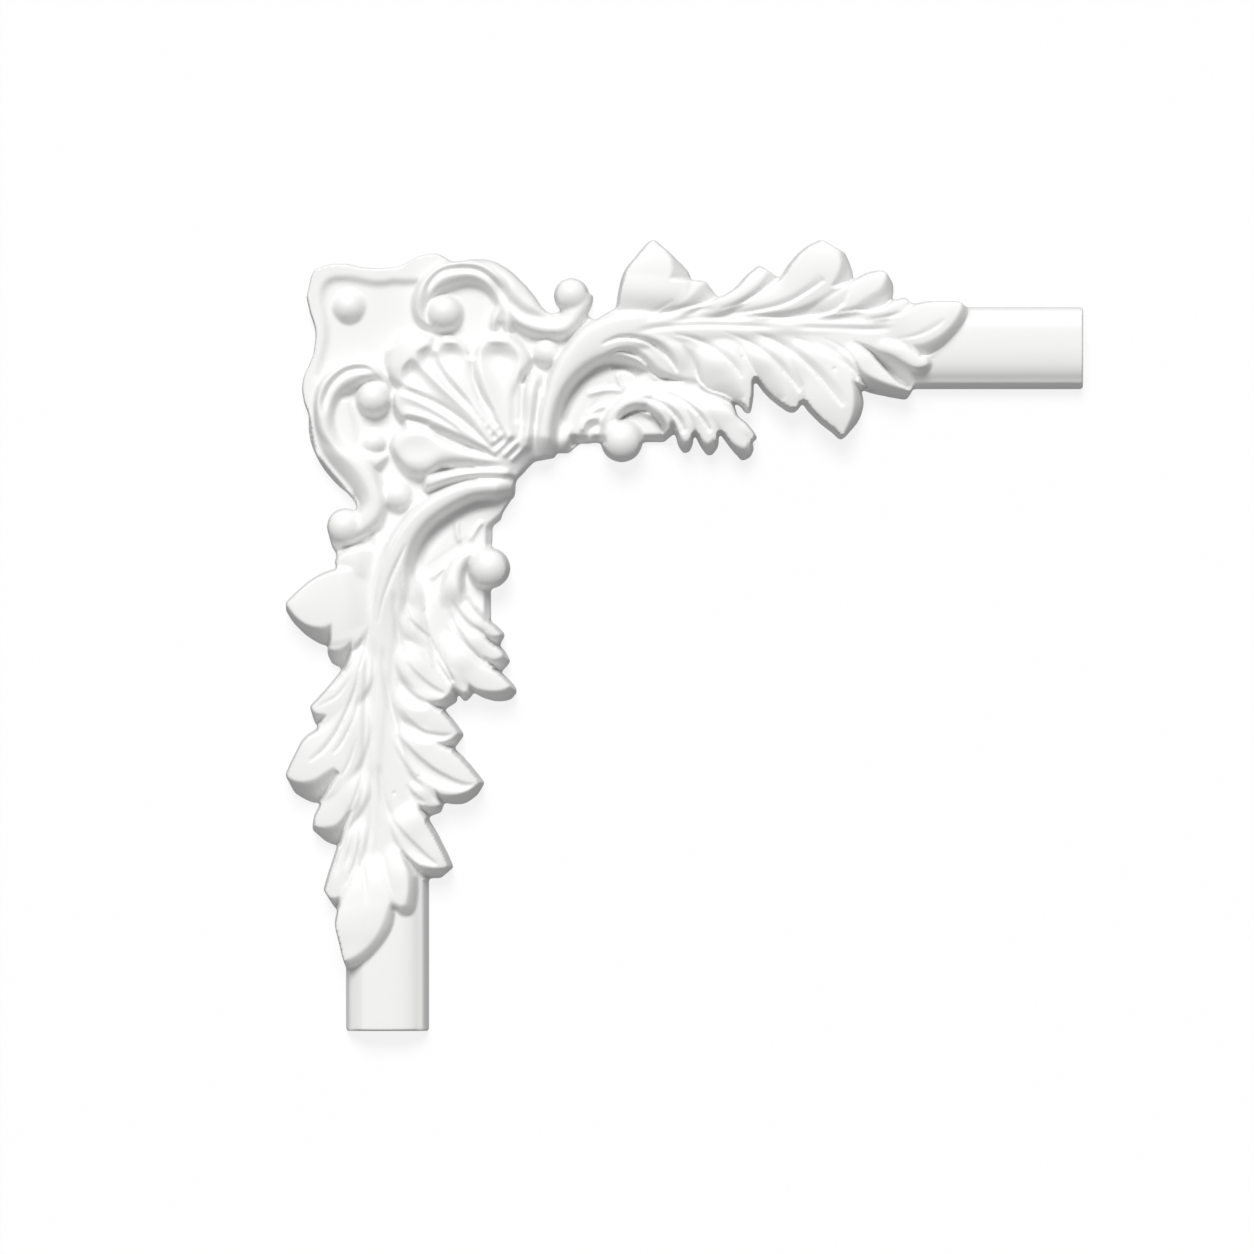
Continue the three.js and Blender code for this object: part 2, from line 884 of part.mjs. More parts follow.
// Small leaf scrolls on the inner side of each arm
const INNER_STEMS = [
  [
    [80, -34, 86, -32, 9],
    [81, -26.5, 87.5, -27.5, 11],
    [85.5, -20.5, 90.5, -25, 12],
    [92, -17, 95, -24, 12],
    [99, -15.5, 100.5, -25.5, 12],
  ],
  [
    [37, -75, 36, -80, 9],
    [30, -75.5, 31.5, -80.5, 11],
    [24, -80, 29, -85, 12],
    [20.5, -88, 29, -91, 12],
    [19, -97, 31, -96.5, 12],
  ],
];
for (const rows of INNER_STEMS) {
  solids.push(band(rows, CRESCENT, 2));
}
const INNER_LEAVES = [
  [
    [97, -17, 94, -23, 11],
    [103, -20, 99, -25.5, 11],
    [106.5, -25, 102.5, -29, 10],
    [106, -31, 104, -32.5, 7],
  ],
  [
    [101, -16, 98, -20, 11],
    [109, -20.5, 104, -23.5, 12],
    [114, -28, 107.3, -29.5, 11],
    [114.5, -35, 109, -36, 9],
    [113, -38.8, 111, -39.3, 7],
  ],
  [
    [108, -15.5, 104, -19, 11],
    [118, -22, 111, -23, 12],
    [123, -28, 114.5, -30, 11],
    [124, -36, 117, -36, 9],
    [121.5, -40, 119.8, -40, 7],
  ],
  [
    [115, -14, 109, -18, 10],
    [127, -22, 118, -23.5, 12],
    [133, -28, 124, -31, 11],
    [135, -34.5, 128, -36.5, 9.5],
    [137.2, -37, 131, -40, 8],
    [136, -40.7, 133, -42.2, 6.5],
  ],
  [
    [126, -22, 122, -25, 10],
    [134.3, -28, 131.5, -31, 9],
    [138.7, -33.5, 135.5, -36.5, 7],
  ],
  [
    [30, -94, 26, -98, 12],
    [35, -99.5, 31, -105, 12],
    [41, -104.3, 37.5, -109.5, 10],
    [44, -107.5, 41.5, -112.3, 7.5],
  ],
  [
    [26, -100, 21, -103, 12],
    [33, -106, 29, -111, 12],
    [39, -110, 35, -116, 11],
    [43.5, -113.3, 39.5, -119, 9.5],
    [46, -117.5, 43, -121, 7.5],
  ],
  [
    [24, -104, 18, -108, 12],
    [30, -112, 22.5, -118, 12],
    [37, -118.5, 28, -124, 11.5],
    [42.5, -121.8, 34, -130, 10.5],
    [47, -126, 41, -132.3, 9],
    [48.5, -129, 46, -131.7, 7],
  ],
  [
    [22, -112, 17.5, -112, 11],
    [27, -120, 21, -120, 11],
    [30.5, -126, 25, -127, 9],
    [32, -130, 29, -132.7, 7],
  ],
];
for (const rows of INNER_LEAVES) {
  solids.push(band(rows, FOLD, 1));
}

// One casting: everything joined, dished, and cut flat at the wall
let casting = solids.reduce((all, part) => all.add(part));
for (const [x, z, long, wide, turn, floor] of DISHES) {
  casting = casting.subtract(dish(x, z, long, wide, turn, floor));
}
const WALL = [
  [-60, -300],
  [300, -300],
  [300, 80],
  [-60, 80],
];
casting = casting.subtract(plate(WALL, -BEHIND - 8, 0));

const mesh = casting.getMesh();
const geometry = new THREE.BufferGeometry();
geometry.setAttribute("position", new THREE.BufferAttribute(mesh.vertProperties, 3));
geometry.setIndex(new THREE.BufferAttribute(mesh.triVerts, 1));
geometry.computeVertexNormals();

const moulding = new THREE.Mesh(
  geometry,
  new THREE.MeshStandardMaterial({ color: FINISH, roughness: 0.6, metalness: 0 }),
);
moulding.name = "moulding_corner";

const group = new THREE.Group();
group.add(moulding);
export default group;
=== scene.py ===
"""An ornamental corner for panel mouldings, one white casting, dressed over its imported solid.

The relief is a height above the wall, worked out on a grid from bands, plates, balls and creases,
and meshed once. Relief tables are in millimetres in the solid's frame: x to the right, z up.
"""

import math

import bmesh
import bpy
import numpy as np
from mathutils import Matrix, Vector


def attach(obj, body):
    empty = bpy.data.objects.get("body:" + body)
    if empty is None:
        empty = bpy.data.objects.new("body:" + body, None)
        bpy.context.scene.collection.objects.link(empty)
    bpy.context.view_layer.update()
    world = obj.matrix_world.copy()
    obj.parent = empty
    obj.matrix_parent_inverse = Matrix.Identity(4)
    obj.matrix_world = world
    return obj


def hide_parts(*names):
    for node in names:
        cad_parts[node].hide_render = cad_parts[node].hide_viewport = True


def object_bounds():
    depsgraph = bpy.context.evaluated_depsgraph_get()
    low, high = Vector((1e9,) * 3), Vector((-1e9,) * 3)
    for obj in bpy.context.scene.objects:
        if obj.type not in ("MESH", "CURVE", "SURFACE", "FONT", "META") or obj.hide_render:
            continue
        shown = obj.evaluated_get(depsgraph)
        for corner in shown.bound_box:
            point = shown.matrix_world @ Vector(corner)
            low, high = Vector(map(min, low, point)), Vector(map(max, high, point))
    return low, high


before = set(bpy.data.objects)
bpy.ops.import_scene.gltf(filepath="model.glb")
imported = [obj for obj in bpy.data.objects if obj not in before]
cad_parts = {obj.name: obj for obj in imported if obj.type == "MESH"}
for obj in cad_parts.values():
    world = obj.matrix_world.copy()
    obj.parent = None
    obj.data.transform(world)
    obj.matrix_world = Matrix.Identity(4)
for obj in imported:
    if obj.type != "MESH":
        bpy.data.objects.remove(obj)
cad_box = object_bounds()

MM = 0.001  # the tables below are in millimetres

# Driving sizes, the same as the solid's
RIGHT_REACH = 260.8  # origin to the cut end of the horizontal stub
DOWN_REACH = 256.0  # origin to the cut end of the vertical stub
STUB_HALF = 15.3  # half the width of the moulding the corner meets
STUB_THICK = 10.6  # crest of the moulding above the wall
STUB_WALL = 5.8  # height of its side walls
STUB_START = 178.0  # where the stubs come out of the leaf sprays
DRAFT = 1.4  # how far a side wall leans in over that height
FLOOR = 5.0  # plate and webs between the ornaments
RIM = 7.0  # raised rim of the corner plate

# Heights of what stands on the plate
CORE_HEIGHT = 13.0  # behind the shell's root and the collars
BED_HEIGHT = 11.5  # behind the shell's flutes
RIB_HEIGHT = 16.0  # bars across the shell's root, lower here than in the solid

# The relief is worked out on a grid of cells and meshed at every second cell
CELL = 0.28
LEFT, RIGHT = -42.0, 265.0
LOW, HIGH = -260.0, 45.0
EMPTY = -50.0  # height of a cell that nothing covers
BLEND = 0.9  # height over which two surfaces melt into one another
BALL_BLEND = 0.4
RIB_BLEND = 0.4
STALK_BLEND = 2.5
SAMPLES_ALONG = 2.6  # samples of a ruled surface in each cell, along its edges
SAMPLES_ACROSS = 2.2  # and from one edge to the other
COVER_WEIGHT = 1.6  # weight of the samples near a cell from which they cover it
TINY = 1e-9  # least divisor
FAINT = 1e-6  # least share of covered cells that a mean is divided by
LEAF_LEVEL = 13.4  # the leaves' upper surface
ROOT_DIVE = 4.5  # how far a leaflet's root goes down under the midrib
LEAF_SWELL = 0.35  # share of the tables' swelling about that level that the surface keeps

# How a leaf or band rises from its two edges: place and share of the crown,
# then for each edge the width in millimetres over which it rounds off and the share it falls to
LEAF = (0.5, 0.05, 1.4, 0.9, 1.4, 0.9)
CRESCENT = (0.35, 0.12, 2.0, 0.62, 3.0, 0.5)
STALK = (0.35, 0.12, 2.6, 0.62, 3.0, 0.6)
BLADE = (0.5, 0.10, 2.0, 0.8, 2.0, 0.8)
FLUTE = (0.5, 0.14, 3.0, 0.74, 3.0, 0.74)
KNOB = (0.5, 0.12, 4.5, 0.62, 4.5, 0.5)
SCROLL = (0.35, 0.1, 2.0, 0.6, 4.5, 0.42)
SLOPE = (0.62, 0.22, 3.0, 0.4, 3.0, 0.55)
RIB = (0.5, 0.1, 1.2, 0.8, 1.2, 0.8)

# The moulding's profile: place across it and height
MOULDING = [
    [-STUB_HALF, 0],
    [-STUB_HALF + DRAFT * 0.5, STUB_WALL * 0.62],
    [-STUB_HALF + DRAFT, STUB_WALL],
    [-10, STUB_THICK - 1.3],
    [-7.5, STUB_THICK - 0.3],
    [0, STUB_THICK],
    [5.5, STUB_THICK - 0.4],
    [9.3, STUB_THICK - 1.5],
    [12.2, STUB_THICK - 3.4],
    [STUB_HALF - DRAFT, STUB_WALL],
    [STUB_HALF, 0],
]

STUB_POINTS = (700, 240)  # samples of a stub along its arm and across it
PROFILE_POINTS = 300
END_ROUNDING = 1.6  # length over which its cut end is eased
END_DROP = 0.12  # share of the height lost at that end

# Outlines of the flat areas: x, z
PLATE = [
    [-24, 30.8], [-27.2, 29.6], [-28.6, 27.2], [-30.4, 19], [-29, 12.7], [-27.2, 7.4],
    [-27, 4.3], [-27.7, -2], [-29.6, -6.8], [-31.4, -10.5], [-32.2, -15.2], [-31.4, -20],
    [-29, -27], [-27, -40], [-12, -58], [-10, -70], [0, -82], [14, -82], [42, -62],
    [47.3, -50.8], [55, -42.7], [64, -39], [84, -12], [84, 8], [70, 14], [59.5, 13],
    [54.2, 20.6], [46.8, 27.9], [36, 32.2], [24.4, 32.4], [22.3, 33.5], [20.2, 34.9],
    [17, 35.6], [12.8, 34.8], [8.6, 33], [5, 30.8], [1.7, 30.2], [-5, 29.8],
    [-10.4, 30.5], [-15, 31.6], [-20.4, 31.6],
]
PANEL = [
    [2, 24.5], [-0.4, 23.7], [-5, 23.7], [-9.8, 24.8], [-14.6, 25.6], [-19.3, 25.6],
    [-22.5, 24], [-24, 21], [-24, 17], [-23, 11.6], [-22.4, 7.4], [-22.5, 2.7],
    [-23.5, -2], [-24.8, -6.3], [-25.6, -10], [-25, -13.6], [-14, -20], [-8, -45],
    [-14, -60], [-2, -84], [16, -84], [44, -63], [66, -40], [86, -12], [86, 9], [70, 12], [44, 24],
    [18, 24],
]
WEBS = [
    [[60, -39.5], [68, -39.5], [72, -35.8], [104, -35.2], [116, -24], [120, -8], [84, 2],
     [62, -10]],
    [[47, -56], [43.2, -62], [42.5, -64.5], [39.3, -67], [38.7, -103.5], [30, -116], [10, -116],
     [-2, -84], [14, -60]],
    [[-19, -75], [-9, -66], [2, -76], [-8, -88], [-19.5, -82]],
]
CORE = [
    [36, -30], [48, -28], [57, -30], [57, -41.8], [54.5, -42.8], [47.5, -50.3],
    [46.5, -53], [34, -53], [32, -40],
]
SHELL_BED = [
    [46, -45], [30, -46], [16, -44.5], [7, -40], [6.5, -29], [5.5, -16], [17.5, -1],
    [31.5, -4], [51, -14], [58, -14], [60, -28], [57, -40],
]

# Beads and scroll balls: x, z, radius, height
BALLS = [
    [-14.2, 15.2, 6.1, 10],
    [21.7, 12.7, 6.5, 13.5],
    [-4.9, -19.4, 6.3, 13.5],
    [69, 19.6, 6.6, 13.5],
    [-15.7, -67, 7, 13.5],
    [59.4, -2.2, 5, 11],
    [-5, -35.8, 4.5, 10],
    [4, -55.6, 5.4, 11],
    [87.8, -35, 7.8, 15],
    [38.3, -82.5, 7.7, 15],
]

# Rows of a band: x, z of one edge, x, z of the other, height of the crown
TOP_C = [
    [17, 6.2, 19, 9, 9], [11.5, 9.5, 16.5, 11, 10], [9.8, 15.5, 16, 14.5, 11],
    [11, 21.5, 17.5, 18, 12], [14.8, 27, 20.5, 20.5, 12], [20.5, 31, 24.5, 22.3, 12],
    [28.5, 32.6, 29.5, 23.7, 12], [36.5, 31.6, 34.2, 23, 12], [42.5, 27, 38.4, 20, 12],
    [45.8, 19.5, 41, 14.8, 11], [46.3, 10, 41.5, 9, 10],
]
TOP_S = [
    [30, 33.2, 33, 29.5, 8], [38, 32.8, 40.5, 28, 10], [44, 30.2, 44.5, 20, 11],
    [48, 27, 45.5, 13, 12], [52, 23, 47.3, 8.3, 12], [55.3, 19, 53, 4.9, 12],
    [58.5, 14.5, 60, 3.4, 12], [62.5, 12.2, 67.5, 4, 12], [65, 13, 72.5, 8.8, 11.5],
    [66, 16, 76.3, 15.5, 11], [67, 19, 77, 20, 9],
]
LEFT_C = [
    [1.8, -17, -1.8, -15.5, 9], [0, -10.8, -3.5, -13.2, 10.5], [-5, -6, -7, -13, 11.5],
    [-12.5, -5, -12, -15.5, 12], [-19, -7.5, -15.5, -17.5, 12], [-24.5, -12.5, -18, -20.5, 12],
    [-27, -19, -19.4, -25, 12], [-27.2, -26, -19.2, -30, 12], [-25.8, -32.5, -17.7, -33.5, 12],
    [-21.5, -38, -14.5, -36.5, 11.5], [-15, -42, -10.5, -38, 11], [-8, -44.5, -7, -38, 10.5],
    [-3.5, -45.8, -2.5, -38.5, 9.5], [0.3, -42, 0, -39, 8],
]
LEFT_S = [
    [-29, -22, -24, -24, 8], [-29.4, -29, -22, -28, 10], [-28.3, -36.2, -18, -34.5, 11],
    [-24.3, -44.5, -13, -38.5, 12], [-19, -50.8, -6, -43, 12], [-14, -55.2, -2.2, -50, 12],
    [-11.4, -58.5, 0, -58, 12], [-11.7, -61.5, -2, -65, 12], [-13, -63.5, -7.5, -70.3, 11.5],
    [-15, -65, -14.5, -73.4, 11],
]
# Short ends of scrolls and stalks, as such rows
SMALL_ENDS = [
    [[41, 16, 45, 16, 9], [38.8, 9.5, 42.4, 9.5, 10], [39.5, 5.3, 41.8, 5.3, 8]],
    [[44, 16, 49, 15, 10], [43, 9.5, 48.4, 9.5, 10], [44.5, 4.5, 47, 4.5, 8]],
    [[62.6, -27, 69, -28.5, 6], [62, -31, 70, -32, 8.5], [62.4, -35, 69.8, -35, 9],
     [63.6, -38.6, 68.4, -38, 7]],
    [[-22.6, -67, -9, -71, 9], [-20.8, -74, -15, -73.8, 8], [-18.9, -76.8, -17.8, -76.6, 6]],
]
# The shell's lobes and its large lower one, root first
SHELL = [
    [[38, -38, 41, -34, 15.8], [25, -26, 32, -18, 15.2], [12, -18.5, 24, -8, 14.7],
     [4.5, -15, 18.8, -2, 13], [0.2, -9, 17, 3.4, 12.5], [0, -2, 9.5, 6.2, 11.5]],
    [[42, -36, 44, -33, 15.8], [31, -24, 37, -21, 15.2], [23, -12, 31.5, -10, 14.7],
     [18.3, -2.5, 31, -3.5, 13], [18.6, 1, 30, 0, 12.5], [21, 3.8, 26.5, 3.2, 11.5]],
    [[44, -36, 49, -33, 15.8], [36, -21, 48, -20, 15.2], [32.3, -10, 50.5, -12.5, 14.7],
     [32.4, -4, 53.8, -6, 13], [33.8, 0.5, 52.5, -1.2, 12.5], [37, 4.2, 47.5, 4, 11.5]],
    [[49.5, -38, 54.5, -38, 15.8], [50.5, -28, 56, -28, 14.7], [50.6, -18, 57.5, -18, 14.5],
     [52, -12.5, 58.2, -12.5, 13], [54, -10.2, 57.3, -10.1, 11]],
    [[42, -38.5, 40, -41.5, 15.6], [30, -28.5, 28, -35.5, 15.2], [20, -21.8, 17, -31, 14.7],
     [11, -17.5, 9, -28.2, 14], [5, -15.5, 5.5, -27.3, 12.5], [2.6, -18, 3.2, -24, 11]],
    [[46, -45.3, 46, -49.2, 15.6], [36, -45.3, 36, -49.3, 14.7], [25, -45.8, 25, -51.2, 14.5],
     [18, -47, 17.5, -53.5, 13], [14.3, -49, 14.3, -53.5, 11]],
]
SHELL_KNOB = [
    [44, -41.5, 43, -45.3, 15.2], [32, -37.5, 30, -45, 14.7], [22, -33, 21, -45.5, 14.5],
    [15, -29.3, 15, -49, 14], [8.5, -28.8, 8, -47.7, 13], [3.5, -32, 4.3, -43.5, 12],
    [1.7, -35.5, 1.9, -39.5, 10.5],
]

# Dishes: x, z, half-lengths, turn in degrees, depth
HOLLOWS = [
    [84, -19, 17, 11, 40, 1.6],
    [25, -78, 17, 10, 60, 1.6],
    [12, -38, 9, 5.5, 5, 0.8],
]

# Flutes of the shell, rim first: x, z of one edge, x, z of the other, depth in the middle
FLUTES = [
    [[5.4, -8.8, 9.8, -4, 0.8], [6.2, -12.8, 13.2, -6.6, 3.6], [11.5, -16.8, 17.4, -10.6, 3],
     [18, -21.6, 22.6, -16.2, 2], [26, -26.8, 29, -22.6, 1], [33, -32, 35, -29, 0.3]],
    [[11, -2.4, 16.6, 0.8, 0.8], [12, -6.6, 18.8, -2.2, 3.6], [16.2, -11, 21.8, -7.2, 3],
     [21.4, -16.2, 25.8, -12.9, 2], [28, -22.4, 31.4, -19.6, 1], [34.5, -29, 36.5, -28, 0.3]],
    [[19.6, 1.2, 28.8, 0.8, 0.8], [18.8, -2.8, 30.4, -3, 3.8], [21.4, -8, 31.8, -8, 3],
     [27, -15, 34, -13.5, 2], [33, -23, 37.5, -21.5, 1.1], [39, -31, 41, -30, 0.3]],
    [[36.5, 1.6, 47, 1, 0.8], [35.2, -3, 49.6, -4, 4.2], [35.7, -9, 49.3, -10, 3.4],
     [38.5, -17, 48.5, -18, 2.2], [42, -26, 48.5, -26, 1.1], [44.5, -33, 48.5, -32.5, 0.3]],
    [[4, -18, 4.6, -25.5, 0.4], [9, -19.6, 10, -25.5, 1.4], [17, -23.5, 18.5, -28, 1.2],
     [27, -30, 28, -33, 0.6]],
]

# Short ribs across the shell's root: x, z, half-length
RIBS = [
    [34.6, -28, 1.8], [37, -30.3, 2.1], [39.4, -32.4, 2.4], [41.8, -34.4, 2.6], [44.2, -36.3, 2.6],
    [46.6, -38.3, 2.5], [49, -40.2, 2.3],
]
RIB_HALF = 0.5  # half a rib's step across, along x and z alike

# The two stalks from the collar outwards, and the low blades under the leaflets
STALKS = [
    [[55.6, -42.3, 62.8, -41, 15], [55.8, -32, 63.2, -31, 15], [57.5, -22, 65.5, -21.5, 15],
     [61, -10, 69.5, -14.5, 15], [66.8, 0, 76, -8.5, 15], [76, 9, 84, -4.5, 15],
     [90, 13, 92, -2, 14], [112, 12.5, 112, 1, 12], [150, 10.5, 150, 3, 12], [200, 10, 200, 6, 11]],
    [[48, -49.7, 47.5, -56, 15], [36, -49.4, 36, -56.7, 15], [25, -51.4, 28, -59.3, 15],
     [13, -58, 18, -65.5, 15], [4, -67, 12, -72.8, 15], [-1, -76, 9.3, -81, 15],
     [-5, -90, 8.5, -92, 14], [-7, -112, 4, -112, 12], [-7, -150, 0, -150, 12],
     [-8, -200, -4, -200, 11]],
]
BLADES = [
    [[70, 4, 80, -6, 10], [84, 14, 92, -6, 11], [100, 18.5, 104, -11, 11],
     [113.5, 23.5, 118, -13.5, 11], [124, 18.3, 137, -10.8, 11], [147.3, 24.5, 155, -16, 11.5],
     [174, 23.5, 175.5, -13.5, 11.5], [189, 16.8, 185, -5.5, 11.5], [198, 16.5, 196, -1, 11.5]],
    [[-4, -70, 6, -76, 10], [-10, -84, 9, -88, 11], [-14, -98, 14, -98, 11],
     [-20, -112, 17, -112, 11], [-15, -121, 19, -124, 11], [-26, -141.5, 20.5, -147, 11.5],
     [-24, -169.5, 20, -169.5, 11.5], [-18, -185.5, 15, -177, 11.5], [-17, -197, 11.3, -197, 11.5],
     [-17.5, -209.5, 3.5, -210, 11.5]],
    [[92, -17, 96, -25, 9], [100, -14, 104, -28, 9], [108, -12, 112, -29, 9],
     [122, -12, 124, -30, 9], [130, -22, 133, -31, 8.5]],
    [[20, -88, 30, -93, 9], [15, -98, 33, -100, 9], [14, -110, 37, -110, 9],
     [19, -122, 40, -122, 9], [22.5, -127.5, 38, -128, 8.5]],
]

# Leaflets of the two sprays, root first
RIGHT_LEAF = [
    [[85, 8, 101, 9, 12], [86.3, 19, 111, 17, 14], [88.5, 28, 113.5, 26.5, 14],
     [93, 34, 107.5, 34, 12], [97.3, 39, 101.9, 38.8, 9], [99.3, 40.2, 100.4, 40.2, 8]],
    [[100, 12, 104, 7.5, 11], [108, 19.5, 112, 12, 13], [114, 25, 120, 15.5, 12],
     [119.5, 24.6, 124, 18.4, 9]],
    [[108, 13, 112, 8, 11], [121, 17.5, 124, 11.5, 13], [129, 21.5, 137, 18, 14],
     [135, 27.5, 145, 24, 12], [139.5, 31, 147, 26, 9]],
    [[122, 14, 128, 8.5, 11], [137, 18.5, 141, 10, 13], [146, 25, 155, 13.5, 14],
     [151, 32, 166, 19.5, 15], [157, 37.8, 174.2, 26, 14], [163, 40.5, 171.5, 35.5, 10]],
    [[150, 13, 152, 7.5, 11], [163, 18, 166, 10.5, 13], [171, 23, 176, 12.5, 13],
     [178, 27.3, 186.5, 15.2, 12], [183.6, 28.9, 189.4, 20.4, 10], [186.8, 28.4, 189.2, 24.4, 9]],
    [[168, 13, 170, 7, 10], [181, 14.5, 184, 9, 11.5], [189, 17.5, 192, 11.5, 11],
     [194, 19, 197.7, 15.5, 9]],
    [[178, 10, 180, 2, 10], [192, 13.5, 193, -0.5, 15], [200, 17, 201, -3.5, 20],
     [208, 17.3, 208, 0.8, 21], [214, 17.2, 214, 7.5, 20], [216.4, 15.5, 216.7, 11.5, 19]],
    [[178, 4, 177, 0, 9], [188, 2, 186, -3, 13], [196, 0, 192, -6.5, 16], [201.5, -4, 197, -9, 17],
     [202.7, -6.5, 201, -8.5, 16]],
    [[165, 5, 160, 1, 9], [176, 0.5, 168, -8, 11], [185, -6.5, 178, -15.5, 11.5],
     [191, -11.5, 187, -18, 10.5], [196.7, -16, 194.5, -19.3, 8]],
    [[146, 6, 140, 3, 10], [160, 1, 149, -5, 13], [172, -6.5, 154.5, -14, 15],
     [178, -18, 156, -21, 15], [177, -26, 161, -27, 13], [173, -31.5, 167, -31.8, 10],
     [170.6, -34, 169.6, -34.1, 9]],
    [[135, 6, 128, 4, 10], [146, 0, 135, -5, 13], [152, -8, 138, -12, 14],
     [156, -16, 142.5, -18, 12.5], [154.7, -21.5, 149, -23.1, 9.5],
     [152.8, -23.9, 151.6, -24.1, 8.5]],
    [[120, 7, 112, 3, 10], [130, 0, 116, -7, 13], [136.5, -8, 118, -15, 14],
     [137.2, -15.5, 126, -18.5, 12.5], [136.5, -21.5, 132, -21.5, 10],
     [135.8, -24.5, 134.2, -24.2, 8.5]],
]
LEFT_LEAF = [
    [[0, -76, -3, -90, 11], [-10, -74.5, -10, -86, 11], [-17, -77, -16.5, -83, 9],
     [-19.8, -80, -18.5, -82.8, 7]],
    [[-3, -84, 0, -102, 12], [-14, -82.5, -12, -109, 14], [-21, -83.2, -22, -111.5, 14],
     [-28, -86.5, -29, -108.5, 13], [-34, -91.5, -34.5, -103.5, 11], [-38, -95.5, -37.8, -98.5, 8]],
    [[-10, -96, -3, -98, 11], [-17, -106, -8, -108, 12], [-22.3, -113, -12.5, -114, 11],
     [-20.5, -118.3, -16, -120.3, 8]],
    [[-6, -108, 0, -112, 11], [-12.5, -115, -5, -125, 13], [-18.5, -122.5, -12, -136, 13.5],
     [-24, -129, -20, -141, 12], [-29, -134.3, -27, -140.8, 8.5]],
    [[-8, -122, -2, -126, 11], [-14, -132, -5, -142, 13], [-22, -140.5, -10, -157, 14],
     [-30.5, -145.5, -19, -167, 15], [-35, -153, -27, -170.3, 13], [-38.2, -160, -34.5, -166.8, 9]],
    [[-9, -150, -3, -154, 11], [-14, -160, -6, -167, 13], [-22, -167, -12, -178, 13],
     [-27, -174.5, -18, -185.7, 11], [-28, -180.5, -23, -184.8, 8]],
    [[-8, -168, -3, -171, 10], [-12.5, -178, -7, -184, 12], [-18, -185.5, -10, -198, 12],
     [-21.5, -195, -14.5, -208, 11], [-23.9, -203, -19.5, -210, 8]],
    [[-9, -180, -3, -180, 10], [-13, -197, 0, -195, 15], [-18, -209, 3, -206, 20],
     [-19.5, -216, 2.6, -216, 21], [-18, -223, -2, -223.5, 20], [-16.6, -229, -8, -229.3, 19],
     [-15.3, -232, -12.5, -231.7, 18]],
    [[-4, -180, 1, -178, 10], [0, -196, 6.5, -190, 15], [2.5, -206, 11.7, -198, 18],
     [4, -211.5, 11.8, -207, 17], [7, -214, 10.8, -212.5, 15]],
    [[0, -168, 6, -165, 10], [2, -180, 12, -172, 13], [7, -190, 17.5, -180, 13],
     [13, -198, 22, -188.5, 12], [20, -198.5, 24.6, -194.6, 9]],
    [[5, -160, 12, -158, 11], [9, -166, 17, -163, 12], [12, -171, 21, -169, 11],
     [15, -175.7, 20, -174, 8]],
    [[0, -138, 5, -134, 11], [4, -150, 14, -141, 13.5], [11, -161, 22, -147.5, 15],
     [20, -169.5, 29, -154, 14], [28, -170.8, 34, -160, 12], [33.5, -167.5, 36.3, -163, 8.5]],
    [[0, -124, 5, -120, 11], [5, -137, 12, -127, 13], [13, -145, 20, -134.5, 13],
     [20, -148, 25, -140, 11], [25.5, -149.3, 28.6, -145, 8]],
    [[0, -110, 5, -106, 11], [5, -122, 12, -113, 13], [12, -130.5, 19, -121, 13],
     [18, -134.3, 25, -128, 11], [22, -135, 26, -132.5, 8.5]],
]

# Curled leaflets at the foot of each spray
CRESCENTS = [
    [[88, 6, 88, 2, 10], [100, 5, 98, -0.5, 12], [110, 1, 103, -5, 12.5],
     [113.8, -6, 105, -9.5, 11], [113, -11.5, 107, -12.3, 8]],
    [[80, 1, 80, -4, 9], [90, 1.5, 90, -3.5, 11], [99, -2, 95.5, -6, 11], [104, -8, 98.5, -10, 9],
     [105, -11.5, 99, -12.5, 7]],
    [[4, -88, 9, -84, 11], [7, -96, 13, -90, 11], [11, -101, 15.5, -97, 9]],
    [[2, -98, 8, -92, 11], [6, -108, 14, -100, 12], [12, -113, 17, -108, 10]],
]

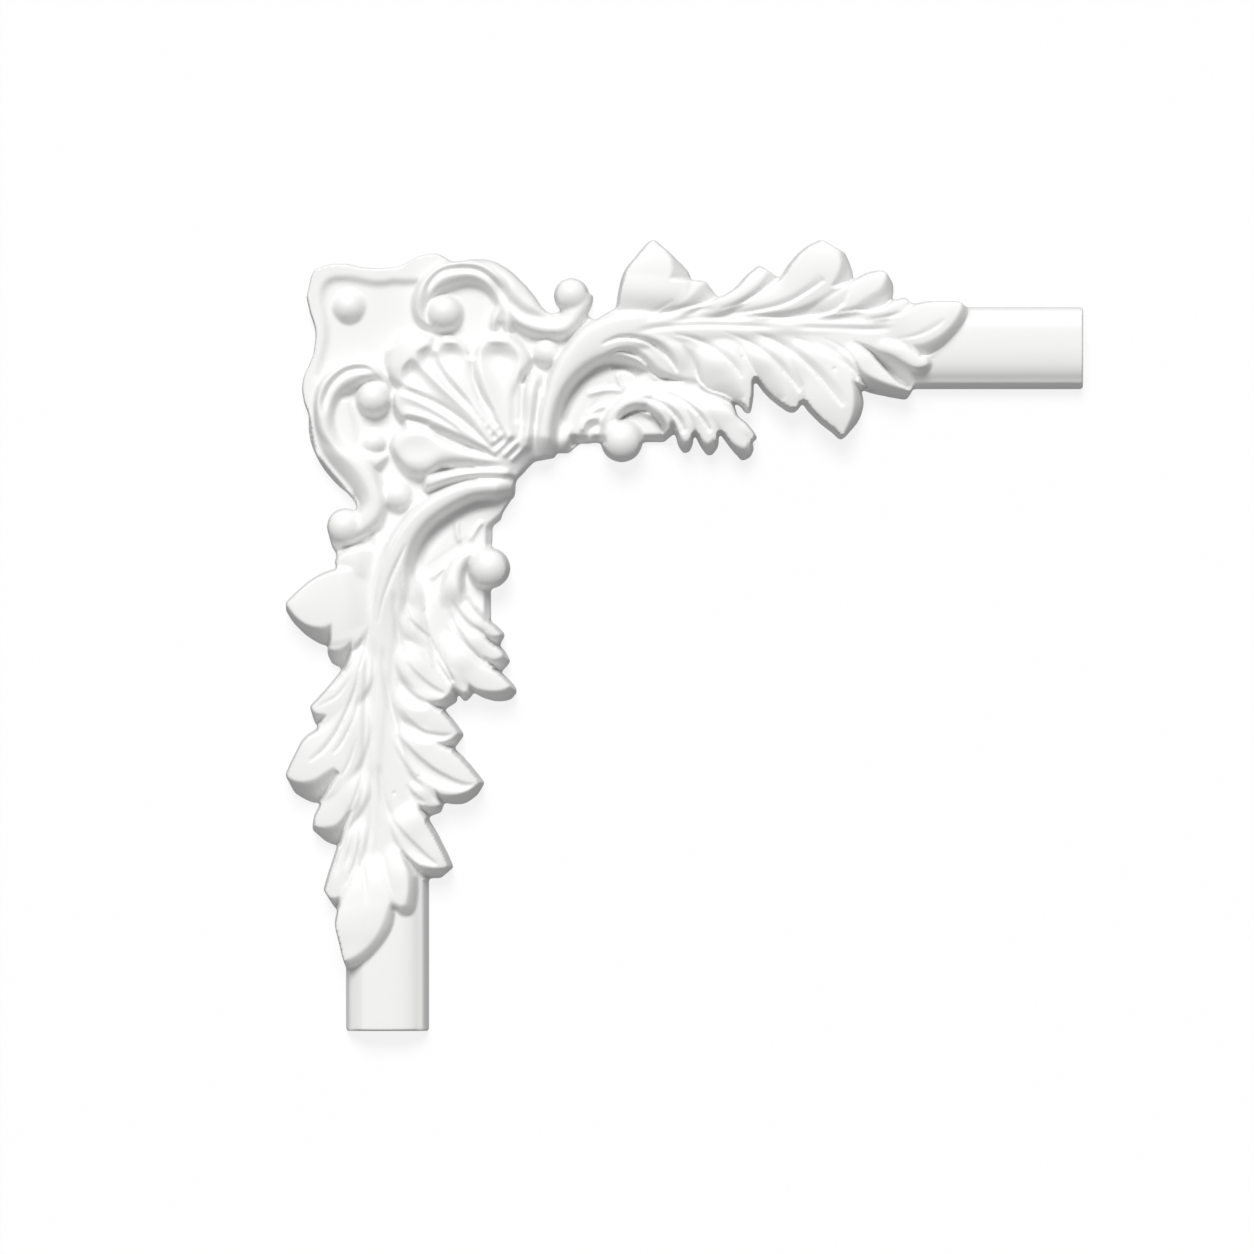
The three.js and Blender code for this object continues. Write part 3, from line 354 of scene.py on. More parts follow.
# The scrolled leaves inside the angle: their stems and their leaflets
INNER_STEMS = [
    [[80, -34, 86, -32, 9], [81, -26.5, 87.5, -27.5, 11], [85.5, -20.5, 90.5, -25, 12],
     [92, -17, 95, -24, 12], [99, -15.5, 100.5, -25.5, 10]],
    [[37, -75, 36, -80, 9], [30, -75.5, 31.5, -80.5, 11], [24, -80, 29, -85, 12],
     [20.5, -88, 29, -91, 12], [19, -97, 31, -96.5, 9]],
]
INNER_LEAVES = [
    [[97, -17, 94, -23, 11], [103, -20, 99, -25.5, 11], [106.5, -25, 102.5, -29, 10],
     [106, -31, 104, -32.5, 7]],
    [[101, -16, 98, -20, 11], [109, -20.5, 104, -23.5, 12], [114, -28, 107.3, -29.5, 11],
     [114.5, -35, 109, -36, 9], [113, -38.8, 111, -39.3, 7]],
    [[108, -15.5, 104, -19, 11], [118, -22, 111, -23, 12], [123, -28, 114.5, -30, 11],
     [124, -36, 117, -36, 9], [121.5, -40, 119.8, -40, 7]],
    [[115, -14, 109, -18, 10], [127, -22, 118, -23.5, 12], [133, -28, 124, -31, 11],
     [135, -34.5, 128, -36.5, 9.5], [137.2, -37, 131, -40, 8], [136, -40.7, 133, -42.2, 6.5]],
    [[126, -22, 122, -25, 10], [134.3, -28, 131.5, -31, 9], [138.7, -33.5, 135.5, -36.5, 7]],
    [[30, -94, 26, -98, 12], [35, -99.5, 31, -105, 12], [41, -104.3, 37.5, -109.5, 10],
     [44, -107.5, 41.5, -112.3, 7.5]],
    [[26, -100, 21, -103, 12], [33, -106, 29, -111, 12], [39, -110, 35, -116, 11],
     [43.5, -113.3, 39.5, -119, 9.5], [46, -117.5, 43, -121, 7.5]],
    [[24, -104, 18, -108, 12], [30, -112, 22.5, -118, 12], [37, -118.5, 28, -124, 11.5],
     [42.5, -121.8, 34, -130, 10.5], [47, -126, 41, -132.3, 9], [48.5, -129, 46, -131.7, 7]],
    [[22, -112, 17.5, -112, 11], [27, -120, 21, -120, 11], [30.5, -126, 25, -127, 9],
     [32, -130, 29, -132.7, 7]],
]

# Scoops: strips cut down from a high edge to a foot. Rows are x, z of the high edge,
# x, z of the foot and the depth at the foot. Those of a leaf run from its root towards its tip.
UNDERSIDES = [
    # scroll down the left side, and the ends of the collars
    [[-22.5, -8, -23.5, -8, 0.6], [-25, -16, -27, -16, 3], [-25, -23, -29, -23, 4.5],
     [-22.6, -31, -29.2, -30, 5.5], [-18.5, -38.5, -27.6, -38.2, 6.5],
     [-13, -43.6, -22.6, -46.6, 7], [-9, -48.3, -16.8, -53, 6.5], [-6.4, -53.5, -12.4, -57.3, 5.5],
     [-6, -58.5, -11.4, -60, 4], [-8.5, -63, -11.8, -62, 2]],
    [[41, -44, 47, -51, 2], [45, -38, 51.5, -46.4, 7.5], [51, -34, 55.2, -43.4, 8],
     [57, -33.5, 58.6, -42.8, 8], [62.4, -34, 63.6, -41.8, 8]],
    [[41.8, -47.5, 47.8, -48, 1.5], [41.4, -50.5, 48, -50.5, 4.5], [41, -54, 47.8, -54, 7],
     [40.5, -57.5, 46, -58, 6]],
    # horizontal spray, the sides of the leaflets that face its tip
    [[102.5, 38.6, 103, 38.8, 1], [105, 35, 108.4, 33.8, 5], [106.3, 31, 111.6, 30, 8],
     [106.3, 27.5, 113.7, 27, 9], [105, 24.8, 114, 25, 9]],
    [[102, 13, 102, 12.2, 0.4], [108, 15, 108.5, 13.6, 1.2], [113.5, 18.5, 114.5, 14.8, 2.2],
     [116.5, 22, 120.5, 16.4, 4], [118.5, 24.3, 124.2, 19, 7]],
    [[124, 14.5, 124.5, 13.6, 0.4], [130, 17, 131.5, 15.6, 1.2], [135, 20, 138, 19, 2],
     [139.5, 24, 142.5, 22.4, 2.4], [142.5, 28.8, 147.5, 25.6, 6]],
    [[166, 39.8, 167, 40, 2], [168.5, 36.3, 171.5, 36.4, 6], [169.3, 32, 174, 31.5, 8],
     [168.5, 28, 174.8, 27, 9], [166.5, 24, 174.2, 25, 8], [165, 22, 167, 22, 1]],
    [[136, 11.9, 136, 11, 0.5], [144, 12.8, 145, 10.9, 1.6], [152, 14.2, 153, 11, 2],
     [160, 17.4, 161, 11.6, 1.8], [168, 20.6, 167, 13.2, 1.8], [173, 21.5, 171, 16.5, 1.2]],
    [[166, 13.2, 167, 12.4, 0.6], [173, 14.6, 174, 13.2, 1.2], [179, 18.6, 181, 13.4, 3],
     [184, 21.8, 187, 15.6, 6], [186.2, 25.5, 189.6, 20.5, 8], [186.8, 28, 188.8, 26.5, 6]],
    [[180, 10.6, 180, 9.9, 0.3], [187, 12.3, 188, 11, 1.2], [191.5, 14, 193.2, 12.6, 1.6],
     [195, 17.3, 197.8, 16.5, 2.5]],
    [[195, 0.6, 199, -3.8, 3.5], [200, 1.2, 203, -3.2, 4.5], [204.5, 3.2, 207.5, -0.8, 4.5],
     [208.5, 6, 211.3, 3, 4.5], [211.5, 9.5, 215.2, 7.5, 4.5], [213.8, 13.5, 217, 12.5, 4.5],
     [214.8, 17, 216.2, 17, 5]],
    [[196.5, -8.4, 196.5, -11.5, 4], [199.5, -8.8, 199.8, -12, 4.5], [202.3, -8, 203.2, -10.5, 4]],
    [[175, -5, 175, -6.5, 1], [177, -8.5, 177, -12, 5], [180, -10.8, 180, -15.8, 9],
     [186, -13.6, 186, -17.8, 9], [192, -15.6, 192.5, -19.2, 9], [196.5, -16.6, 197.6, -18, 6]],
    [[173, -12, 176.5, -14.5, 4], [174, -17, 178.2, -18.5, 9], [174, -22, 178.6, -23, 10],
     [173, -27, 176.2, -28.8, 9], [171, -32, 171.5, -33.8, 6]],
    # vertical spray, left leaflets
    [[-37.8, -96, -38.5, -96.6, 8], [-34, -100.6, -35.5, -102, 10], [-30, -103.4, -31, -106.8, 11],
     [-26, -104.4, -26.5, -110, 11], [-22.5, -104.2, -22, -112, 11], [-20, -103, -21, -108, 7]],
    [[-22.2, -110.8, -22.9, -112, 8], [-20.8, -112.6, -21.9, -116.5, 11],
     [-18.5, -112.9, -19, -119.6, 11], [-15.5, -111.8, -16, -120.5, 10],
     [-12.5, -109, -13, -113, 4]],
    [[-29, -133.8, -29.6, -135.2, 8], [-26.6, -136.3, -28, -139.2, 10],
     [-24.3, -137, -26.2, -141, 10], [-21.5, -137.2, -22.5, -138, 1]],
    [[-38, -159.6, -38.5, -160.8, 8], [-34.5, -161.6, -36, -165.8, 11],
     [-30.5, -162, -31.5, -169, 11], [-26, -160.7, -25.5, -170.2, 11],
     [-22.5, -158.4, -20.5, -163.5, 6], [-19.8, -156.6, -17.5, -159, 2.5]],
    [[-28, -178, -28.4, -179.4, 8], [-25, -179, -26, -183.8, 11], [-21.5, -178.8, -22, -186, 11],
     [-18, -177.5, -18, -186, 10], [-15, -174.5, -15.6, -179, 5], [-13, -172, -12.6, -173, 1]],
    [[-23, -203.5, -23.9, -204.6, 8], [-21.5, -205.2, -22.4, -208.6, 11],
     [-19, -205.4, -19.5, -210.8, 11], [-16.8, -204.2, -17.5, -208, 5]],
    [[-15.8, -229, -16.5, -230, 8], [-14.5, -228.2, -13.4, -233.4, 7],
     [-10.5, -226.2, -8, -231.6, 6], [-6, -222.4, -3, -227.4, 6], [-2.5, -217.5, 1, -222.4, 6],
     [-0.5, -212.5, 4.2, -216.4, 6], [1, -207, 4.6, -210.5, 4]],
    # vertical spray, right leaflets
    [[5, -188, 6, -188.5, 1], [7.3, -194, 12.4, -195.5, 6], [8.2, -200, 13.4, -201, 10],
     [7.8, -205, 13.4, -207.4, 10], [7, -207.6, 11.8, -214.2, 10], [4.5, -207.8, 7.5, -215.8, 9],
     [1.5, -205.5, 3.4, -212.8, 6]],
    [[5, -186.6, 6, -188.2, 1.5], [8.5, -190.8, 9.5, -195.5, 8], [12.5, -193.2, 13, -198, 10],
     [17, -194.2, 17.5, -198.8, 11], [21.5, -194.2, 22, -198.2, 11], [24.2, -193.2, 25, -195, 8]],
    [[11, -170.6, 12, -171.6, 1], [14, -171, 14.8, -174.8, 8], [17, -171.2, 16.8, -176.8, 10],
     [20.3, -171, 20.4, -174.8, 8]],
    [[17.3, -164.6, 18.4, -165.6, 1.5], [20.5, -166.7, 21, -170.8, 10],
     [25.5, -167, 26, -171.2, 11], [30.5, -165.6, 31.2, -170, 11], [34.2, -162.9, 35.5, -166, 10],
     [36, -161, 36.8, -162.6, 7]],
    [[18.5, -147.2, 19, -147.9, 0.8], [23, -147, 24.5, -150, 9], [26.2, -144.6, 27.8, -148, 10],
     [27.8, -142, 29, -143.6, 7]],
    [[14.5, -131.8, 15.2, -132.6, 1], [19, -132, 20.8, -135.4, 8], [22.5, -130.2, 24.8, -133.4, 9],
     [24.6, -127, 27, -132, 8]],
    # inner leaf of the vertical arm, then of the horizontal arm
    [[34, -105, 35, -106, 1], [38.5, -107.6, 40.5, -111.6, 7], [42.5, -107.6, 43.4, -111, 8],
     [44, -106.8, 45, -108.8, 6]],
    [[35.5, -115, 36.5, -116, 1], [39.5, -116.6, 41.8, -120.6, 7], [43.5, -115.4, 45, -119, 8],
     [45, -114.4, 46.4, -117, 6]],
    [[30.5, -124.8, 31, -128.4, 4], [33, -127.2, 35, -131.2, 8], [38, -128.3, 40.5, -132.5, 9],
     [43, -128, 45.5, -132.2, 9], [46.5, -126.4, 48.8, -129.2, 8]],
    [[24, -125.5, 24.5, -127.6, 2], [26.5, -127.4, 26, -130.6, 7], [29, -128.8, 29.5, -133, 8],
     [31, -127.5, 32.2, -131, 5]],
    [[106.6, -27.6, 107.4, -30, 1.5], [109.4, -33, 108.8, -35.5, 5],
     [111.8, -35.2, 111.5, -39.6, 7], [113.6, -33, 114.6, -37.6, 6]],
    [[114, -29.4, 114.8, -31, 1.5], [117, -34, 116.8, -36.5, 5], [120, -35.8, 119.8, -40.6, 7],
     [122.4, -33.6, 124, -38, 6]],
    [[124, -30.4, 124.6, -32, 1.5], [127.4, -34.8, 127.6, -37.5, 5], [131, -37, 132, -41.5, 7],
     [133.6, -37.6, 135.6, -42, 7], [134.8, -35, 138.2, -38.6, 6]],
]

# Furrows, rows as above: they fall away slowly from the high edge and end at a step
FURROWS = [
    # lower end of the horizontal stalk
    [[61.6, -31, 62.4, -41.4, 4.4], [65, -29.5, 65.4, -41, 4.8], [68.4, -30, 68.8, -39.2, 4.6],
     [71, -31.6, 71.6, -36, 2]],
    # horizontal spray, above the midrib
    [[95, 11.5, 96, 10.8, 0.2], [101, 15.3, 102, 13.6, 0.6], [107, 18.5, 107.5, 17, 0.3]],
    [[127, 12.9, 127, 12, 0.4], [138, 15.2, 138.5, 13.1, 1.4], [147, 17.8, 148.5, 15.4, 1.6],
     [155, 22, 157, 20, 1.6], [161, 27.5, 163.5, 24.5, 0.8]],
    [[190, 3.4, 190, 2.6, 0.3], [197, 5.2, 198, 3.6, 0.9], [203, 8.6, 204.5, 6.6, 0.7],
     [207, 10.8, 208, 9.6, 0.3]],
    # below it, the dark gap under the tip first
    [[174, 2, 174, 1.8, 0.4], [180, 0.2, 180, -1.6, 6], [186, -2.6, 184.2, -6, 11],
     [191, -5, 188.2, -10.2, 12.5], [195, -9, 191.8, -13.4, 11], [197.5, -13, 195.5, -15.4, 8]],
    [[152, 3.9, 152, 3.3, 0.3], [158, 2.6, 157.5, 0.8, 1.6], [164, 0.4, 163, -2.6, 2.4],
     [170, -2.8, 168.5, -5.4, 2.6], [174.5, -7, 173, -8.6, 2.4], [177, -12, 175.5, -12.5, 1.5]],
    [[162, 3.8, 162, 3.4, 0.2], [168, 1.8, 167.5, 1, 0.5], [173, -2, 172.3, -2.8, 0.8],
     [176, -7, 175, -7.5, 0.6]],
    [[137, 5.4, 137, 4.8, 0.3], [144.5, 4.3, 143.5, 2.4, 1.8], [151.5, 1.2, 150, -1.6, 2.8],
     [158.5, -4, 156.3, -6.8, 2.8], [165, -10, 162, -13, 2.6], [170.5, -16, 167, -19, 1.8],
     [172.5, -21, 170, -22.5, 0.6]],
    [[126, 5.8, 126, 5.3, 0.3], [134, 3.6, 133.3, 2.4, 1.2], [141.5, 0.3, 140, -1.8, 2.2],
     [148, -5, 146, -7.6, 2.4], [153.5, -10.5, 151, -13, 2.2], [156, -14.5, 154, -17, 1.4]],
    [[131, -0.5, 130, -1.5, 0.3], [138, -3.5, 135, -7, 1.6], [143.5, -8, 138.5, -12, 2.4],
     [147.5, -13, 142, -17, 2.4], [149.5, -18.5, 147.5, -21, 1.6]],
    [[107, 5.2, 107, 4.4, 0.4], [114, 4.6, 113.5, 3, 1.4], [121, 2.2, 120, 0, 1.8],
     [127.5, -1.5, 125.5, -4, 2], [132, -6, 130, -8.5, 1.4], [134, -11, 132.5, -12, 0.5]],
    [[111, 0.8, 110.5, 0.4, 0.5], [115.5, -2, 113.3, -5, 2.6], [121, -4.8, 115.8, -11, 3.2],
     [127, -8.5, 119.5, -15.6, 3.4], [131, -13, 126, -18, 3.4], [134.5, -19, 132, -21, 2.6]],
    [[80, 1.4, 80.3, 0.4, 0.64], [86, 4.2, 86.6, 2.6, 2.56], [93, 4.6, 92.8, 2.6, 3.2],
     [100, 3.2, 98.5, 0.8, 4.16], [106, -0.5, 102.5, -2, 4.8], [109, -5, 106.5, -6.5, 3.2],
     [109.5, -9, 108.5, -9.5, 1.28]],
    [[81, -3, 81.5, -4.2, 1.28], [86, -0.6, 86.4, -2.2, 3.2], [91.5, -0.4, 91, -2.6, 3.84],
     [97, -3, 95, -4.8, 3.84], [102.5, -8, 100, -10.5, 3.52], [108, -11.2, 105, -12.4, 3.2],
     [112, -12.2, 111, -12.8, 1.6]],
    # inner leaf of the horizontal arm
    [[86, -24.5, 86.5, -28.5, 3.6], [89.5, -21.8, 90, -25.5, 6], [94, -20.8, 94.5, -24, 6],
     [99, -22, 98.5, -25, 6], [103.5, -26, 102, -29, 6], [106, -30, 103.5, -32.5, 4.8]],
    [[95, -18.2, 95.5, -19, 0.68], [101, -19.2, 100.5, -20.6, 2.72],
     [106, -21.6, 104.6, -23.2, 3.4], [110.3, -26, 108.5, -27.3, 3.4],
     [113, -31.5, 111, -32.5, 2.55]],
    [[101, -16.6, 101.3, -17.4, 0.68], [107.5, -17.6, 107, -19, 2.38],
     [113.5, -20.6, 112.5, -22, 2.72], [118.5, -25.4, 117, -26.6, 2.72],
     [122, -31, 120.5, -32, 2.04]],
    # vertical spray, left of the midrib
    [[-10.2, -119, -9.8, -119, 0.3], [-12.3, -127, -11, -127.4, 1.4],
     [-15.6, -135, -14, -135.8, 1.8], [-19.6, -142.6, -17.8, -143.6, 1.8],
     [-24.3, -148.8, -22.6, -150.4, 1.4], [-29.5, -153.6, -28.5, -155, 0.3]],
    [[-10.3, -130, -9.8, -130, 0.3], [-12.8, -138, -11.6, -138.6, 0.9],
     [-17.2, -146.5, -15.8, -147.4, 1.1], [-20.6, -151, -19.4, -152, 0.4]],
    [[-8.8, -107, -8.2, -107.2, 0.4], [-12, -114.5, -10.8, -115.2, 1.3],
     [-15.6, -120.3, -14.2, -121.4, 1.3], [-21, -126.5, -20, -127.6, 0.5]],
    [[-13.5, -123, -13, -123.4, 0.2], [-18.8, -129.4, -18, -130.4, 0.7],
     [-26, -133.6, -25.6, -134.6, 0.3]],
    [[-11.4, -146, -10.8, -146, 0.2], [-14.4, -154, -13.2, -154.6, 0.8],
     [-17.4, -160, -16.6, -160.6, 0.4]],
    [[-9.2, -158, -8.6, -158, 0.2], [-11.8, -166, -10.6, -166.6, 0.8],
     [-14, -172.5, -13.3, -173, 0.6]],
    [[-12.4, -176, -11.8, -176, 0.3], [-15.6, -184, -14.6, -184.6, 0.7],
     [-19, -193, -18.4, -193.4, 0.3]],
    [[-10.2, -184, -9.6, -184, 0.3], [-12.8, -193, -11.6, -193.6, 1.1],
     [-15.4, -200.5, -14.6, -201, 0.5]],
    # along the vertical stalk
    [[16, -54.5, 17, -55.6, 0.6], [10, -60.5, 11.2, -61.6, 1.4], [4, -67.5, 5.6, -68.5, 1.6],
     [-0.5, -75.5, 1.3, -76.3, 1.8], [-4, -84.5, -2.2, -85, 1.8], [-5.6, -93, -4, -93.3, 1.6],
     [-6.6, -102, -5.2, -102.2, 1.2], [-8.5, -112, -7.5, -112.3, 0.8],
     [-10.5, -120, -9.8, -120.3, 0.4]],
    [[7, -73.5, 7.6, -73.8, 0.4], [3.6, -79.6, 5, -80.3, 1.4], [0.4, -86.6, 2, -87.2, 1.6],
     [-2, -94.5, -0.8, -94.8, 1.2], [-3.5, -103, -2.8, -103.2, 0.5]],
    [[5, -84, 5.6, -84, 0.3], [5.2, -92, 6.6, -92, 0.8], [7, -100, 8.4, -99.6, 1],
     [9, -106, 10, -105.6, 0.4]],
    # between the right leaflets and the inner leaf of the vertical arm
    [[15, -108.5, 16, -108.2, 1.5], [18, -114.6, 19.2, -114, 2], [21.5, -120.3, 22.7, -119.8, 2.4],
     [24.6, -125.6, 25.4, -125, 3]],
]

# Coves: hollows between the two edges of a row, deepest nearer the first edge
COVES = [
    # vertical spray, right of the midrib
    [[4, -144.6, 3, -145.5, 0.4], [8, -148.3, 3.5, -152.5, 1.8], [13.5, -153.6, 9, -159, 2.4],
     [20, -158.4, 17, -164, 2.4], [28, -162.2, 27, -166.2, 1.6], [33, -163, 33, -164, 0.4]],
    [[5.5, -135, 4.5, -136, 0.4], [9, -139, 6, -143, 1.8], [14, -142.8, 12, -147.5, 2.4],
     [20, -144.3, 20, -147.6, 1.6], [25, -144.2, 25, -145.2, 0.4]],
    [[4.5, -123, 3.5, -124.5, 0.3], [8, -127, 5, -131, 1.6], [12, -130.2, 9.5, -135.5, 1.8],
     [16, -132.2, 15.5, -136, 1]],
    [[8, -117.6, 7.2, -119, 0.3], [12, -121.8, 10, -125.5, 1.3], [17, -126, 15.3, -130, 1.6],
     [22, -129, 21.5, -131.2, 1]],
    [[2, -175.5, 1.4, -177, 0.3], [7.5, -181.6, 4.5, -185, 1.6], [13.5, -187.6, 10, -191.4, 2],
     [19.5, -193, 18, -194, 0.8]],
    [[7.5, -162.8, 7, -164, 0.3], [11, -166.8, 9.3, -168.8, 1.6], [15, -170, 14, -171, 0.8]],
    [[15.7, -163, 15.2, -164, 0.4], [18, -167, 17, -168.4, 1.2], [19.8, -169.6, 19, -170.2, 0.5]],
    [[8.5, -101, 8, -102.4, 0.4], [12.5, -104.8, 11.5, -107, 1.8], [16.8, -108.4, 16, -110, 1.6]],
    # inner leaf of the vertical arm
    [[24.5, -94, 23.6, -94.6, 0.4], [27.5, -98.6, 25.5, -101, 1.5], [32, -103.2, 30, -106, 1.8],
     [37.5, -106.4, 36.5, -108.6, 1]],
    [[23.5, -97, 22.5, -97.4, 0.3], [26, -103, 23.6, -105, 1.4], [30, -109.5, 27.4, -112, 1.7],
     [35.5, -116.6, 33.5, -118.6, 1.2], [38, -119.4, 37.2, -120.4, 0.3]],
]

# Pits, rows as above: they fall steeply from the high edge
PITS = [
    [[44.6, -59.5, 47.6, -59.5, 3], [43, -61.8, 45.4, -62.4, 4], [40.4, -64, 42.4, -65.4, 4.5],
     [37.3, -67, 39.6, -68, 4.5], [37, -71, 39.4, -71, 4.5], [37, -76, 39.3, -76, 4.5]],
    [[36.6, -90, 39, -90, 4.5], [36.5, -97, 38.9, -97, 4.5], [36.6, -103, 38.9, -103, 3]],
    [[68.2, -32.8, 68.6, -36.2, 4], [70.4, -32.6, 70.8, -36.8, 4.7], [73, -32.8, 73, -36.6, 4.7],
     [77, -32.8, 77, -36.4, 4.7], [82, -32.8, 82, -36.2, 4.5]],
    [[95.8, -32.6, 95.6, -36, 4], [101, -32.6, 101, -36, 4.5], [106, -32, 106.5, -35.6, 4]],
    [[82, -4.8, 84, -8, 2], [88, -3.4, 88, -8, 3], [93, -5, 92, -9.5, 3], [97, -9, 94, -12, 2]],
]

# Rounded channels, and ridges where the depth is negative: depth, half-width, path
CHANNELS = [
    (2.4, 1.3, [[14.7, 15], [15.3, 20], [17, 24.2], [21, 27.9], [27.4, 29], [33.7, 28.5],
                [38.9, 25.3], [42.6, 20.5], [43.9, 14]]),
    (2.2, 2.2, [[40, 27], [44, 19.5], [48.5, 14.5], [53, 11.7], [60, 10.3], [65, 11], [69, 13.5]]),
    (2.4, 1.3, [[-3, -11], [-6.2, -8.8], [-10.4, -8.4], [-14.6, -9.4], [-18.3, -12], [-21.4, -16.3],
                [-23, -21.5], [-22.5, -27]]),
    (2.6, 2.4, [[64.5, -40], [65, -30], [66.6, -22], [71.5, -13.5], [77, -8.6], [83, -6.4],
                [92, -7.5]]),
    (2.6, 2.4, [[44, -58], [33, -58.6], [24, -63.5], [17.5, -69], [13, -75.5], [11, -83],
                [10.5, -90]]),
    (2.0, 1.2, [[16, -30], [22, -34], [28, -36.5], [34, -38.5], [41, -41]]),
    (1.6, 1.0, [[19, -5], [21, -11], [25.5, -16.5], [33, -24.5]]),
    (1.8, 1.0, [[32, -2], [32.6, -10], [35, -18], [41, -27]]),
    (1.6, 0.9, [[50.9, -8], [50.8, -20], [50, -36]]),
    (1.4, 0.9, [[57.6, -10], [56, -25], [55.3, -41]]),
    (1.6, 1.0, [[6, -15.5], [15, -19.5], [20, -22], [25, -25], [30, -29], [36, -34.5]]),
    (1.4, 1.0, [[6, -27.8], [10, -27.4], [17, -29.4]]),
    (1.8, 1.0, [[12, -47.5], [17, -47], [22, -45.5], [30, -45], [45, -44.8]]),
    (1.8, 1.0, [[13, -54.6], [20, -52.5], [25, -51], [30, -49.5], [35, -49], [47, -49.3]]),
    (-1.8, 1.1, [[72.8, -32.6], [73.2, -30], [75, -27.2], [80.5, -25.8]]),
    (1.5, 1.1, [[75.8, -34], [76.2, -30.6], [80.5, -28.6]]),
    (-1.4, 0.9, [[74, -18], [80, -16.4], [85, -16], [90, -17]]),
    (-1.4, 0.9, [[86, -9], [87, -13], [89, -16.5]]),
    (-1.2, 0.9, [[74, -26], [79, -23], [83, -21.6]]),
    (-1.4, 0.9, [[26, -64], [26.4, -70], [28, -74]]),
    (-1.4, 0.9, [[36, -64.5], [33, -69], [30.5, -73]]),
    (-1.2, 0.9, [[16, -87], [19, -84.4], [23, -81]]),
]

# Veins along the sprays: paths
VEIN_DEPTH = 0.8
VEIN_REACH = 1.0
VEINS = [
    [[90, 4], [98.5, 6.5], [110, 7.7], [122, 8], [137, 7.5], [150, 7]],
    [[150, 7.4], [158, 7], [172, 6.7], [182, 6.5], [192, 7.5]],
    [[-4.4, -108], [-4.4, -117.5], [-5.2, -129], [-5.7, -140.6], [-5.2, -152]],
    [[-6.9, -112], [-7.2, -122], [-7.6, -134], [-8, -149], [-8.5, -160]],
    [[-1.4, -110], [-0.8, -119], [0.2, -129], [3, -137.5], [6, -146]],
    [[-8.5, -158], [-9.7, -175], [-9.4, -188.5], [-7.6, -201], [-6.9, -210]],
    [[-5.2, -155], [-5.2, -172], [-6.4, -188]],
    [[-2.8, -155], [-0.8, -168.7], [3, -178]],
    [[-13, -170], [-16, -185], [-19.3, -199]],
    [[-10.8, -168], [-12.7, -185], [-16, -196]],
    [[3, -90], [3.6, -100], [5, -110], [8, -117]],
    [[95, 9.4], [105, 12.5], [116, 14], [124, 13.6]],
    [[104, 9.2], [120, 10.5], [135, 10]],
    [[0, -120], [2, -135], [6, -150], [9, -158]],
]

# Pinholes left by the casting: x, z
PINHOLES = [[167, -8.5], [132.8, -4], [12, -160.3], [3, -166.5]]
PINHOLE = (0.7, 0.7, 0, 0.9)  # half-lengths, turn and depth of each

SHARP = 0.5  # rounding of every edge by the mould, in millimetres
RIM_SOFT = 0.8  # rounding of the plate's rim
SKIN_SOFT = 0.38  # last rounding, over all that is cut in
SCOOP_FADE = 3.0  # length over which a scoop fades at each end
UNDERSIDE_CURVE = 1.3  # powers of the share across that give each scoop its fall
FURROW_CURVE = 1.5
PIT_CURVE = 0.7
DISH_CURVE = 1.5
FURROW_SHARE = 0.85  # of the tables' depths
COVE_SHARE = 0.6
FADE_IN, FADE_OUT = 5, 4  # a line fades over a fifth of its path at first, a quarter at last
LINE_MARGIN = 4  # reaches from a line beyond which it leaves no mark
PATH_PIECES = 6  # straight pieces between two points of a path
EDGE = 0.7  # rounding of the outline
BELL_REACH = 3.2  # how far, in roundings, the outline is read back
BELL_STEPS = 400
WALL_SLOPE = 9.0  # rise of the outer wall over its lean
WALL_LEAN = 1.3  # where that rise doubles
WALL_BLEND = 1.2  # height over which wall and relief melt into one another

width = int((RIGHT - LEFT) / CELL) + 1
tall = int((HIGH - LOW) / CELL) + 1
across, upward = LEFT + CELL * np.arange(width), LOW + CELL * np.arange(tall)
grid_x, grid_z = np.meshgrid(across, upward, indexing="ij")
height = np.full((width, tall), EMPTY)


def spline(rows, count):
    """A smooth curve through the rows, at even steps of its parameter: a cubic between each two
    rows, whose slope at a row is half the step from the row before it to the row after."""
    rows = np.asarray(rows, float)
    last = len(rows) - 1
    t = np.linspace(0, last, count)
    i = np.minimum(t.astype(int), last - 1)
    t = (t - i)[:, None]
    a, b, c, d = (rows[np.clip(i + k, 0, last)] for k in (-1, 0, 1, 2))
    square, cube = 2 * a - 5 * b + 4 * c - d, 3 * b - a - 3 * c + d
    return 0.5 * (2 * b + (c - a) * t + square * t**2 + cube * t**3)


def join(part, new, blend):
    """The higher of two surfaces, raised where they cross: max + (blend - gap)^2 / (4 blend)."""
    both = (part > EMPTY) & (new > EMPTY)
    near = np.clip(blend - np.abs(part - new), 0, None) * both
    part[...] = np.maximum(part, new) + near**2 / (4 * blend)


